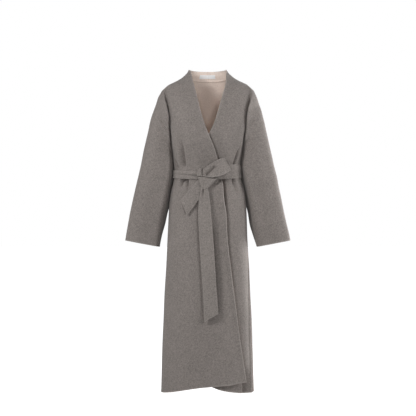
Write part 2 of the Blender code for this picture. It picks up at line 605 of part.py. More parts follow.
def wrinkled(rings):
    """Press the sleeve's few soft wrinkles into its rings."""
    folds = columns_of(SLEEVE_FOLDS)
    share = np.array(SLEEVE_SHARES)[:, None]
    half = 180.0 * np.array(ARC_SHARES)
    turn = np.concatenate([half, 360.0 - half[-2:0:-1]])
    centre = rings.mean(axis=1, keepdims=True)
    away = rings - centre
    away /= np.linalg.norm(away, axis=-1, keepdims=True)
    push = np.zeros(rings.shape[:2])
    for at, azimuth, height, length, width in zip(*folds.values()):
        lean = share - at + 0.05 * np.sin(np.radians(turn - azimuth))
        push += height * np.exp(-((lean / length) ** 2) - ((turn - azimuth) / width) ** 2)
    return rings + push[..., None] * away


# ---- belt ----
def coat_face(x, z):
    """Outer face of the wrapped front at x and z, without its folds."""
    points = body_point(azimuth_at(x, z), z)
    return points, outward(points)


def belt_band():
    """Grid of the band: a strip round the waist, its middle raised by soft humps."""
    band = columns_of(BAND)
    turn = np.linspace(band["azimuth"][0], band["azimuth"][-1], 49)[:, None]
    across = np.linspace(0.0, 1.0, 5)
    top = smooth_curve(turn, band["azimuth"], band["top"])
    bottom = smooth_curve(turn, band["azimuth"], band["bottom"])
    hump = smooth_curve(turn, band["azimuth"], band["hump"]) * np.array([0.0, 1.0, 0.35, 1.0, 0.0])
    z = top + (bottom - top) * across
    out = CLOTH / 2 + BELT_CLOTH / 2 + 1.1 + hump
    return body_point(turn, z, out)


def tail(rows, columns):
    """Grid of a hanging belt end between its two edges, standing off the coat's face."""
    table = np.array(rows, dtype=float)
    key = np.arange(len(table), dtype=float)
    fine = np.linspace(0.0, len(table) - 1.0, columns)
    values = {name: smooth_curve(fine, key, table[:, place]) for place, name in enumerate(TAIL_COLUMNS)}
    across = np.linspace(0.0, 1.0, 5)
    x = values["left_x"][:, None] + (values["right_x"] - values["left_x"])[:, None] * across
    z = values["left_z"][:, None] + (values["right_z"] - values["left_z"])[:, None] * across
    stand = values["stand_left"][:, None] + (values["stand_right"] - values["stand_left"])[:, None] * across
    points, normals = coat_face(x, z)
    return points + normals * (stand[..., None] + CLOTH / 2)


def belt_loop():
    """Grid of the bow's loop: out from the knot, round the fold and back behind."""
    loop = columns_of(LOOP)
    fine = np.concatenate([np.linspace(0.0, 0.44, 7), np.linspace(0.46, 0.54, 5), np.linspace(0.6, 1.0, 5)])
    across = np.linspace(0.0, 1.0, 5)
    value = {name: smooth_curve(fine, loop["share"], loop[name])[:, None] for name in loop}
    z = value["top"] + (value["bottom"] - value["top"]) * across
    lean = 22.0 * smooth_step(1.0 - np.abs(value["share"] - 0.5) / 0.5) * across
    x = value["x"] + lean
    points, normals = coat_face(x, z)
    return points + normals * (value["stand"][..., None] + CLOTH / 2)


def knot_rings():
    """Closed rings of the knot, flat towards the coat and rounded in front."""
    knot = columns_of(KNOT)
    fine = np.linspace(0.0, len(knot["z"]) - 1.0, 12)
    key = np.arange(len(knot["z"]), dtype=float)
    turn = np.linspace(0.0, 2.0 * math.pi, 17)[:-1]
    value = {name: smooth_curve(fine, key, knot[name])[:, None] for name in knot}
    half = (value["right"] - value["left"]) / 2
    x = (value["left"] + value["right"]) / 2 + half * np.cos(turn)
    z = value["z"] + 0.0 * x
    rise = np.sin(turn)
    edge = value["low"] + 0.35 * (value["high"] - value["low"])
    reach = np.where(rise > 0.0, value["high"] - edge, value["low"] - edge)
    stand = edge + reach * np.abs(rise) ** 0.8
    points, normals = coat_face(x, z)
    return points + normals * (stand[..., None] + CLOTH / 2)


# ---- meshes, objects and materials ----
def grid_mesh(name, grid, closed=False):
    """Mesh of a grid of points in millimetres; a missing point leaves a notch."""
    here = ~np.isnan(grid[..., 0])
    number = np.full(here.shape, -1)
    number[here] = np.arange(here.sum())
    rows, columns = here.shape
    faces = []
    for row in range(rows - 1):
        for column in range(columns if closed else columns - 1):
            after = (column + 1) % columns
            upper, lower = number[row], number[row + 1]
            corners = [upper[column], upper[after], lower[after], lower[column]]
            if min(corners) >= 0:
                faces.append([int(corner) for corner in corners])
    mesh = bpy.data.meshes.new(name)
    mesh.from_pydata((grid[here] * MM).tolist(), [], faces)
    mesh.validate()
    return mesh


def cloth_material(name, colour, roughness):
    """Plain fabric material of one colour."""
    material = bpy.data.materials.new(name)
    material.use_nodes = True
    shader = material.node_tree.nodes["Principled BSDF"]
    shader.inputs["Base Color"].default_value = (*colour, 1.0)
    shader.inputs["Roughness"].default_value = roughness
    shader.inputs["Metallic"].default_value = 0.0
    return material


def add_object(mesh, collection, material):
    """Put a mesh in the coat's collection as its own object."""
    piece = bpy.data.objects.new(mesh.name, mesh)
    mesh.materials.append(material)
    mesh.shade_smooth()
    collection.objects.link(piece)
    return piece


def pinch_at_armpits(piece):
    """Thin the wall towards each armpit, where four seams meet in a narrow fold."""
    group = piece.vertex_groups.new(name="wall")
    places = np.array([vertex.co for vertex in piece.data.vertices]) / MM
    near = np.min([np.linalg.norm(places - crease(side, 0.0, False), axis=1) for side in (-1, 1)], axis=0)
    weights = PINCH_LEAST + (1.0 - PINCH_LEAST) * smooth_step(near / PINCH_REACH)
    for number, weight in enumerate(weights):
        group.add([number], float(weight), "REPLACE")
    return group.name


def add_wall(name, grid, collection, material, thickness=CLOTH, closed=False, flip=False):
    """An open grid given its wall thickness, half to each side."""
    mesh = grid_mesh(name, grid, closed)
    if flip:
        mesh.flip_normals()
    piece = add_object(mesh, collection, material)
    wall = piece.modifiers.new("wall", "SOLIDIFY")
    wall.thickness = thickness * MM
    wall.offset = 0.0
    wall.use_rim = True
    if thickness == CLOTH:
        wall.vertex_group = pinch_at_armpits(piece)
    return piece


def add_closed_rings(name, rings, collection, material):
    """Rings joined into a tube with both ends filled."""
    mesh = grid_mesh(name, rings, closed=True)
    vertices = [tuple(v.co) for v in mesh.vertices]
    faces = [tuple(p.vertices) for p in mesh.polygons]
    sides = rings.shape[1]
    last = len(vertices) - sides
    faces.append(tuple(range(sides - 1, -1, -1)))
    faces.append(tuple(range(last, last + sides)))
    bpy.data.meshes.remove(mesh)
    mesh = bpy.data.meshes.new(name)
    mesh.from_pydata(vertices, [], faces)
    return add_object(mesh, collection, material)


def draw_back(grid, line, inside, gap):
    """Move one line of a grid towards the line inside it, to leave a gap at the seam."""
    way = grid[inside] - grid[line]
    grid[line] += gap * way / np.linalg.norm(way, axis=-1, keepdims=True)


def part_front_seams(grid):
    """Open the seams round a front: side, armhole, over the arm, shoulder, neck, centre back."""
    armpit, shoulder = ROWS_BELOW, ROWS_BELOW + ROWS_ABOVE
    gap = SEAM_GAP / 2
    draw_back(grid, np.s_[: armpit + 1, FRONT_COLUMNS], np.s_[: armpit + 1, FRONT_COLUMNS - 1], gap)
    draw_back(grid, np.s_[armpit, FRONT_COLUMNS + 1 :], np.s_[armpit + 1, FRONT_COLUMNS + 1 :], ARMHOLE_GAP)
    draw_back(grid, np.s_[armpit : shoulder + 1, -1], np.s_[armpit : shoulder + 1, -2], gap)
    draw_back(grid, np.s_[shoulder, STRIP_COLUMNS:], np.s_[shoulder - 1, STRIP_COLUMNS:], RIDGE_GAP)
    draw_back(grid, np.s_[shoulder:, STRIP_COLUMNS], np.s_[shoulder:, STRIP_COLUMNS - 1], NECK_GAP)
    draw_back(grid, np.s_[-1, : STRIP_COLUMNS + 1], np.s_[-2, : STRIP_COLUMNS + 1], gap)


def part_back_seams(grid):
    """Open the seams round the back: sides, armholes, over the arms, shoulders and neck."""
    armpit, gap = ROWS_BELOW, SEAM_GAP / 2
    first, last = CAP_COLUMNS, grid.shape[1] - 1 - CAP_COLUMNS
    draw_back(grid, np.s_[: armpit + 1, first], np.s_[: armpit + 1, first + 1], gap)
    draw_back(grid, np.s_[: armpit + 1, last], np.s_[: armpit + 1, last - 1], gap)
    draw_back(grid, np.s_[armpit, :first], np.s_[armpit + 1, :first], ARMHOLE_GAP)
    draw_back(grid, np.s_[armpit, last + 1 :], np.s_[armpit + 1, last + 1 :], ARMHOLE_GAP)
    draw_back(grid, np.s_[armpit:, 0], np.s_[armpit:, 1], gap)
    draw_back(grid, np.s_[armpit:, -1], np.s_[armpit:, -2], gap)
    draw_back(grid, np.s_[-1, :], np.s_[-2, :], RIDGE_GAP)
    inside_neck = np.abs(grid[-1, :, 0]) < float(half_width(1, NECK["point_z"]))
    draw_back(grid, np.s_[-1, inside_neck], np.s_[-2, inside_neck], NECK_GAP)


def neck_label():
    """Grid of the bare label on the inner face of the collar stand."""
    share = np.linspace(LABEL["low"], LABEL["high"], 3)
    columns = []
    for turn in np.radians(np.linspace(LABEL["from_azimuth"], LABEL["to_azimuth"], 7)):
        columns.append(collar_section(1 if turn <= 0.0 else -1, math.pi / 2 - abs(turn), share))
    grid = np.stack(columns)
    centre = np.array([0.0, body("middle", 20.0), 0.0])
    inward = centre - grid
    inward[..., 2] = 0.0
    inward /= np.linalg.norm(inward, axis=-1, keepdims=True)
    return grid + inward * (CLOTH / 2 + LABEL["thickness"] / 2 + 0.7)


def inset_under_lap(grid):
    """Sink the left front under the right one, and ease it out beyond the right front's edge."""
    x, z = grid[..., 0], grid[..., 2]
    beyond = x - smooth_curve(z, EDGE_OF["z"], EDGE_OF["right_front"])
    sink = LAP_INSET * (1.0 - smooth_step((beyond - 4.0) / 44.0))
    return grid - sink[..., None] * outward(grid)


def main():
    """Build every piece of the coat."""
    for old in list(bpy.data.objects):
        bpy.data.objects.remove(old)
    collection = bpy.data.collections.new(COLLECTION_NAME)
    bpy.context.scene.collection.children.link(collection)

    wool = cloth_material("coat_wool", (0.23, 0.205, 0.19), 0.95)
    belt_wool = cloth_material("belt_wool", (0.24, 0.215, 0.20), 0.95)
    white = cloth_material("label_white", (0.80, 0.82, 0.84), 0.7)

    right_front = front_panel(-1)
    part_front_seams(right_front)
    add_wall("front_right_overlap", folded(right_front, RIGHT_FRONT_FOLDS), collection, wool)

    left_front = inset_under_lap(front_panel(1))
    part_front_seams(left_front)
    add_wall("front_left_underlap", folded(left_front, LEFT_FRONT_FOLDS), collection, wool, flip=True)

    back = back_panel()
    part_back_seams(back)
    add_wall("back", folded(back, BACK_FOLDS), collection, wool, flip=True)

    for name, side in (("sleeve_right", -1), ("sleeve_left", 1)):
        rings = wrinkled(sleeve(side))
        draw_back(rings, np.s_[0], np.s_[1], ARMHOLE_GAP)
        add_wall(name, rings, collection, wool, closed=True, flip=side < 0)

    add_wall("belt_band", belt_band(), collection, belt_wool, BELT_CLOTH)
    add_closed_rings("belt_knot", knot_rings(), collection, belt_wool)
    add_wall("belt_loop", belt_loop(), collection, belt_wool, BELT_CLOTH)
    add_wall("belt_end_short", tail(SHORT_TAIL, 9), collection, belt_wool, BELT_CLOTH)
    add_wall("belt_end_long", tail(LONG_TAIL, 17), collection, belt_wool, BELT_CLOTH)
    add_wall("neck_label", neck_label(), collection, white, LABEL["thickness"])


main()
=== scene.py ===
"""Looks of a long wrap coat: felted double-faced wool, a grown-on neckline and a tied belt.

Every shape is a surface of two parameters worked out with numpy in millimetres, and every mesh
is in metres in the frame's own axes: +Z up, the front faces -Y, the wearer's left is +X.
An azimuth is the angle round the body: 0 at the centre front, positive to the wearer's left.
"""
import logging
import math
from dataclasses import dataclass
from enum import Enum
from typing import ClassVar

import bpy
import numpy as np
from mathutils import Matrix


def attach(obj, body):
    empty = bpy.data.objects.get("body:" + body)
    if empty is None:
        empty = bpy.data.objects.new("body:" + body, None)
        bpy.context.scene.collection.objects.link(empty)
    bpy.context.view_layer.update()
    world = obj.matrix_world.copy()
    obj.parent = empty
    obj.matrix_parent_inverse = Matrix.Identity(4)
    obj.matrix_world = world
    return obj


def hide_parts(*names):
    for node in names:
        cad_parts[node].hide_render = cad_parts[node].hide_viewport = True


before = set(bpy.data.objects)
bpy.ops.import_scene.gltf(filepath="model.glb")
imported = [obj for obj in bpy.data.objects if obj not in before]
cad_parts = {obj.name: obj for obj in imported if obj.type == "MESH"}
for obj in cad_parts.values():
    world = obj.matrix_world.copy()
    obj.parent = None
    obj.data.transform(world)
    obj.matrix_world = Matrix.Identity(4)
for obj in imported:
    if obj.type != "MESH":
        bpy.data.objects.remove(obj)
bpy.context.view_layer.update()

LOG = logging.getLogger("wrap_coat")
Table = tuple[tuple, ...]
Socket = bpy.types.NodeSocket
MM = 0.001
CAP_ROWS = 64

# The collar stand: its inward bow, the ridge along its lower seam with its share and width, and
# the depth and width of the seam at the centre back.
STAND_BOW = 3.0
STAND_RIDGE = 3.4
STAND_RIDGE_AT = (0.88, 0.05)
CENTRE_SEAM = (1.6, 2.2)


class Side(Enum):
    """The wearer's right (-X) or left (+X)."""

    RIGHT = -1
    LEFT = 1

    def of(self, name: str) -> str:
        """What a table or node calls this side's part: its name, then right or left."""
        return f"{name}_{self.name.lower()}"


class Face(Enum):
    """Which way a grid's own faces look, and so whether they are turned before the wall is made."""

    AS_MADE = 0
    TURNED = 1


# ---------------------------------------------------------------- numbers and curves
def columns_of(table: Table) -> dict[str, np.ndarray]:
    """Turn a table whose first row holds the names into arrays.

    Args:
        table: names, then one row of numbers for each place.

    Returns:
        One array for each name.
    """
    names, *rows = table
    return dict(zip(names, np.array(rows, dtype=float).T))


def smooth_curve(key: np.ndarray, keys: np.ndarray, values: np.ndarray) -> np.ndarray:
    """Cubic curve through a table's points that never swings past them.

    Each piece is a Hermite cubic; a point's slope is the harmonic mean of the slopes beside it.

    Args:
        key: where the curve is read.
        keys: the table's places, in any order.
        values: the table's values there.

    Returns:
        The curve's value at each key.
    """
    key = np.asarray(key, dtype=float)
    order = np.argsort(keys)
    keys, values = np.asarray(keys, dtype=float)[order], np.asarray(values, dtype=float)[order]
    step = np.diff(keys)
    rise = np.diff(values) / step
    total = np.where(rise[:-1] + rise[1:] == 0.0, 1.0, rise[:-1] + rise[1:])
    inner = np.where(rise[:-1] * rise[1:] > 0.0, 2.0 * rise[:-1] * rise[1:] / total, 0.0)
    slope = np.concatenate([[rise[0]], inner, [rise[-1]]])
    key = np.clip(key, keys[0], keys[-1])
    index = np.clip(np.searchsorted(keys, key) - 1, 0, len(step) - 1)
    part = (key - keys[index]) / step[index]
    square, cube = part * part, part * part * part
    return (
        (2 * cube - 3 * square + 1) * values[index]
        + (cube - 2 * square + part) * step[index] * slope[index]
        + (3 * square - 2 * cube) * values[index + 1]
        + (cube - square) * step[index] * slope[index + 1]
    )


def read(table: Table, name: str, key: np.ndarray) -> np.ndarray:
    """Smooth curve of a table's named column, read by its first column."""
    columns = columns_of(table)
    return smooth_curve(key, columns[table[0][0]], columns[name])


def swept(table: Table, fine: np.ndarray, by_row: bool = False) -> dict[str, np.ndarray]:
    """Smooth curves of all of a table's columns, each stood up as one column of values.

    Args:
        table: the table.
        fine: where the curves are read, as values of its first column.
        by_row: they are read by the rows' numbers instead.

    Returns:
        One curve for each name.
    """
    columns = columns_of(table)
    keys = np.arange(len(table) - 1, dtype=float) if by_row else columns[table[0][0]]
    return {name: smooth_curve(fine, keys, values)[:, None] for name, values in columns.items()}


def smooth_step(value: np.ndarray) -> np.ndarray:
    """Ease from 0 to 1: three squares less two cubes."""
    value = np.clip(value, 0.0, 1.0)
    return value * value * (3.0 - 2.0 * value)


def eased(value: np.ndarray, start: float, over: float) -> np.ndarray:
    """Ease from 0 at the start to 1 after a further stretch, downwards where that is below 0."""
    return smooth_step((value - start) / over)


def bell(distance: np.ndarray, width: float) -> np.ndarray:
    """Bell curve of height 1: e to the minus square of distance over width."""
    return np.exp(-((distance / width) ** 2))


def bell_at(value: np.ndarray, place: tuple[float, float]) -> np.ndarray:
    """Bell curve round a place, which is given with its width."""
    return bell(value - place[0], place[1])


def graded(count: int, first: float = 0.3, reach: int = 9) -> np.ndarray:
    """Shares from 0 to 1 whose steps start small, so that an edge gets fine columns.

    Args:
        count: how many steps.
        first: the first step's size against the last one's.
        reach: how many steps it takes to grow.

    Returns:
        count + 1 shares.
    """
    step = first + (1.0 - first) * smooth_step(np.arange(count) / reach)
    return np.concatenate([[0.0], np.cumsum(step) / step.sum()])


def run_length(grid: np.ndarray, axis: int) -> np.ndarray:
    """Length along a grid's lines from their first point: the sum of the steps between points.

    Args:
        grid: rows by columns of points.
        axis: 0 to run down the columns, 1 along the rows.

    Returns:
        The length at each point; steps over a notch count as very long.
    """
    step = np.linalg.norm(np.diff(grid, axis=axis), axis=-1)
    pad = [(1, 0), (0, 0)] if axis == 0 else [(0, 0), (1, 0)]
    return np.cumsum(np.pad(np.nan_to_num(step, nan=1e3), pad), axis=axis)


# ---------------------------------------------------------------- the filled-out form
@dataclass(frozen=True)
class Figure:
    """The general figure that the coat is filled out to: one ellipse with squared sides a level."""

    cloth: float = 2.4
    armpit_z: float = -240.0
    crease_top_x: float = 158.0
    over_arm_z: float = -136.0
    cap_top_z: float = -42.0
    levels: Table = (
        ("z", "right", "left", "front", "back", "middle", "square", "seam_right", "seam_left"),
        (60, 62, 64, -14, 56, 3, 2, -90, 90),
        (41, 72, 73, -26, 58, 5, 2, -90, 90),
        (30, 80, 81, -36, 60, 8, 2, -90, 90),
        (20, 90, 91, -43, 62, 10, 2, -90, 90),
        (8, 104, 106, -50, 65, 12, 2.05, -90, 90),
        (-4, 124, 127, -55, 68, 12, 2.10, -90, 90),
        (-14, 145, 149, -60, 71, 12, 2.15, -90, 90),
        (-24, 163, 167, -66, 75, 12, 2.20, -90, 90),
        (-40, 172, 174, -75, 82, 12, 2.25, -90, 90),
        (-58, 177, 178, -84, 88, 11, 2.50, -90, 90),
        (-98, 172, 174, -98, 98, 10, 2.90, -90, 90),
        (-130, 164, 166, -108, 104, 9, 3, -90, 90),
        (-175, 156.5, 157.5, -119, 107, 8, 3, -90, 90),
        (-240, 147, 144, -123, 101, 5, 2.80, -88, 88),
        (-300, 139, 135, -108, 92, 2, 2.45, -87, 87),
        (-345, 135, 130, -97, 86, 0, 2.25, -87, 87),
        (-372, 133, 129, -94, 84, 0, 2.25, -86, 86),
        (-400, 137, 135, -96, 88, 0, 2.25, -86, 86),
        (-458, 149, 149, -108, 106, 1, 2.25, -85, 84),
        (-520, 154.5, 155, -115, 120, 2, 2.25, -85, 82),
        (-640, 161, 159, -121, 128, 2, 2.30, -85, 79),
        (-800, 170, 168, -126, 131, 2, 2.30, -84, 76),
        (-960, 177, 176, -131, 135, 2, 2.35, -84, 74),
        (-1120, 183, 181, -136, 140, 2, 2.35, -84, 72),
        (-1260, 187, 187.5, -141, 145, 2, 2.35, -84, 70),
    )
    front_edges: Table = (
        ("z", "edge_right", "edge_left"),
        (41, -72, 73),
        (37, -67.5, 74.5),
        (-12, -56.5, 72),
        (-64, -43.5, 58.5),
        (-129, -27.5, 39.5),
        (-180, -12, 23.5),
        (-221, 4, 4),
        (-275, 25.5, -22),
        (-320, 38.5, -38),
        (-403, 56, -56),
        (-484, 63, -63),
        (-535, 71, -71),
        (-635, 76, -76),
        (-760, 90, -90),
        (-861, 102.5, -102),
        (-962, 115, -115),
        (-1062, 128, -128),
        (-1202, 148, -148),
    )
    front_hems: Table = (
        ("x", "hem_right", "hem_left"),
        (-187, -1247, -1199),
        (-144, -1240, -1202),
        (-90, -1230, -1207),
        (-33, -1221, -1203),
        (2, -1217.5, -1207),
        (17, -1216, -1217.5),
        (50, -1214, -1230),
        (89, -1211, -1238),
        (118, -1206, -1242),
        (149, -1201, -1245),
        (187, -1196, -1244),
    )
    arms: Table = (
        ("z", "outer_right", "outer_left", "inner_right", "inner_left", "inner_y"),
        (-20, 163, 167, 158, 158, 0),
        (-42, 183, 184, 170, 170, 0),
        (-58, 191.5, 191, 171.5, 172, 0),
        (-72, 199, 197, 170, 171.5, 0),
        (-98, 207, 205, 165.5, 167.5, 0),
        (-120, 215, 213, 160, 161, 0),
        (-168, 231, 226, 152, 153, 0),
        (-205, 239, 234, 148.5, 147, 2),
        (-240, 247, 242, 148, 145, 0),
        (-260, 251.5, 246.5, 142.5, 139.5, 12),
        (-275, 255, 250, 138.5, 135.5, 24),
        (-300, 260, 256, 133, 129, 39),
        (-345, 269, 266, 129, 124.5, 55),
        (-392, 280, 278, 129, 128, 60),
        (-430, 288.5, 285, 136, 135, 58),
        (-460, 295, 292, 142, 142, 54),
        (-500, 304, 300, 152, 152, 46),
        (-532, 311, 306, 160.5, 160, 38),
        (-576, 319, 315, 170.5, 168, 27),
        (-624, 327, 326, 184, 182, 15),
        (-667, 333, 333, 193, 196, 8),
    )
    hem_z: float = -1250.0
    neck_point_z: float = 13.0
    neck_seam_drop: float = 21.0
    collar_top_z: float = 41.0
    collar_top_drop: float = 5.0
    collar_top_back_y: float = 58.0
    ridge_low_z: float = -40.0
    side_turn: float = 88.0
    rear_turn: float = 4.0
    crease_rise: float = 1.5
    crease_ease: float = 0.28
    over_arm_y: float = 9.0
    over_arm_lean: float = 3.0

    def size(self, name: str, z: np.ndarray) -> np.ndarray:
        """A size of the figure at height z."""
        return read(self.levels, name, z)

    def arm(self, name: str, z: np.ndarray) -> np.ndarray:
        """A size of the arm at height z."""
        return read(self.arms, name, z)

    def half_width(self, sign: np.ndarray, z: np.ndarray) -> np.ndarray:
        """Half of the width on the side that sign names, to the middle of the cloth."""
        return np.where(np.asarray(sign) < 0, self.size("right", z), self.size("left", z)) - self.cloth / 2

    def depth(self, front: np.ndarray, z: np.ndarray) -> np.ndarray:
        """Depth from the middle to the cloth, before or behind it."""
        middle = self.size("middle", z)
        return np.where(front, middle - self.size("front", z), self.size("back", z) - middle) - self.cloth / 2

    def point(self, azimuth: np.ndarray, z: np.ndarray, out: np.ndarray | float = 0.0) -> np.ndarray:
        """Point of the cloth's middle: half width times sine and depth times cosine, both to a power.

        Args:
            azimuth: degrees round the body.
            z: height.
            out: how far outside the cloth's middle.

        Returns:
            Points, with x, y and z last.
        """
        turn = np.radians(azimuth)
        sine, cosine = np.sin(turn), np.cos(turn)
        power = 2.0 / self.size("square", z)
        x = (self.half_width(sine, z) + out) * np.sign(sine) * np.abs(sine) ** power
        away = (self.depth(cosine > 0, z) + out) * np.sign(cosine) * np.abs(cosine) ** power
        y = self.size("middle", z) - away
        return np.stack(np.broadcast_arrays(x, y, np.asarray(z, dtype=float)), axis=-1)

    def azimuth_at(self, x: np.ndarray, z: np.ndarray, behind: bool = False) -> np.ndarray:
        """Azimuth whose point lies at x, in front or behind.

        Args:
            x: across the body.
            z: height.
            behind: on the back and not the front.

        Returns:
            Degrees round the body.
        """
        ratio = np.clip(np.abs(x) / self.half_width(x, z), 0.0, 1.0)
        turn = np.degrees(np.arcsin(ratio ** (self.size("square", z) / 2.0)))
        turn = np.where(behind, 180.0 - turn, turn)
        return np.where(np.asarray(x) < 0, -turn, turn)

    def azimuth_of(self, points: np.ndarray) -> np.ndarray:
        """Azimuth of any point: the angle of its squared shares of half width and depth.

        Args:
            points: x, y and z last.

        Returns:
            Degrees round the body.
        """
        x, y, z = points[..., 0], points[..., 1], points[..., 2]
        power = self.size("square", z) / 2.0
        across = (np.abs(x) / self.half_width(x, z)) ** power
        away = self.size("middle", z) - y
        along = (np.abs(away) / self.depth(away > 0, z)) ** power
        return np.degrees(np.arctan2(np.sign(x) * across, np.sign(away) * along))

    def outward(self, points: np.ndarray) -> np.ndarray:
        """Level unit vectors that point away from the body's middle.

        Args:
            points: x, y and z last.

        Returns:
            One vector a point.
        """
        x, y, z = points[..., 0], points[..., 1], points[..., 2]
        middle = self.size("middle", z)
        way = np.stack(
            [x / self.half_width(x, z) ** 2, (y - middle) / self.depth(y < middle, z) ** 2, 0.0 * x], axis=-1
        )
        return way / np.maximum(np.linalg.norm(way, axis=-1, keepdims=True), 1e-9)

    def stand_off(self, x: np.ndarray, z: np.ndarray, stand: np.ndarray) -> np.ndarray:
        """Points that stand off the wrapped front's outer face at x and z."""
        points = self.point(self.azimuth_at(x, z), z)
        return points + self.outward(points) * (stand[..., None] + self.cloth / 2)

    def neck_point(self, side: Side) -> np.ndarray:
        """Where the shoulder seam meets the collar.

        Args:
            side: which shoulder.

        Returns:
            The point.
        """
        z = self.neck_point_z
        x = side.value * float(self.half_width(side.value, z))
        return np.array([x, float(self.size("middle", z)), z])

    def ridge_z(self, side: Side, x: np.ndarray) -> np.ndarray:
        """Height of the shoulder's ridge at x: the upper levels' widths read backwards."""
        heights = np.linspace(self.levels[1][0], self.ridge_low_z, 1001)
        return np.interp(np.abs(x), self.half_width(side.value, heights), heights)

    def crease(self, side: Side, share: np.ndarray, behind: bool) -> np.ndarray:
        """Valley between body and arm, from the armpit (share 0) to the shoulder's ridge (1).

        Its height rises quickly at first; its azimuth eases from the side seam to the arm's edge.

        Args:
            side: which arm.
            share: how far along the valley.
            behind: the back's valley and not the front's.

        Returns:
            One point for each share.
        """
        share = np.asarray(share, dtype=float)
        top_z = self.ridge_z(side, side.value * self.crease_top_x)
        z = self.armpit_z + (top_z - self.armpit_z) * (1.0 - (1.0 - share) ** self.crease_rise)
        x = side.value * (self.arm(side.of("inner"), z) - self.cloth / 2)
        ease = smooth_step(share / self.crease_ease)
        turn = np.minimum(np.abs(self.azimuth_at(x, z)), self.side_turn)
        turn = np.where(share == 1.0, 90.0, self.side_turn + (turn - self.side_turn) * ease)
        if behind:
            turn = 180.0 - turn - self.rear_turn * (1.0 - ease)
        return self.point(side.value * turn, z)

    def over_arm(self, side: Side, share: np.ndarray) -> np.ndarray:
        """Outside of the arm, from the dropped armhole seam (0) to the cap's top (1).

        Args:
            side: which arm.
            share: how far from the seam to the top.

        Returns:
            One point for each share.
        """
        share = np.asarray(share, dtype=float)
        z = self.over_arm_z + (self.cap_top_z - self.over_arm_z) * share
        x = side.value * (self.arm(side.of("outer"), z) - self.cloth / 2)
        return np.stack(np.broadcast_arrays(x, self.over_arm_y + self.over_arm_lean * share, z), axis=-1)

    def back_top_z(self, x: np.ndarray) -> np.ndarray:
        """Top edge of the back: the neck seam's dip by a fourth power, then the shoulder's ridge.

        Args:
            x: across the back.

        Returns:
            Height of the top edge.
        """
        x = np.asarray(x, dtype=float)
        half = self.half_width(x, self.neck_point_z)
        ratio = np.clip(np.abs(x) / half, 0.0, 1.0)
        dip = self.neck_point_z - self.neck_seam_drop * (1.0 - ratio**4)
        along = np.clip(np.abs(x), 0.0, self.crease_top_x)
        ridge = np.where(x < 0, self.ridge_z(Side.RIGHT, along), self.ridge_z(Side.LEFT, along))
        return np.where(np.abs(x) < half, dip, ridge)


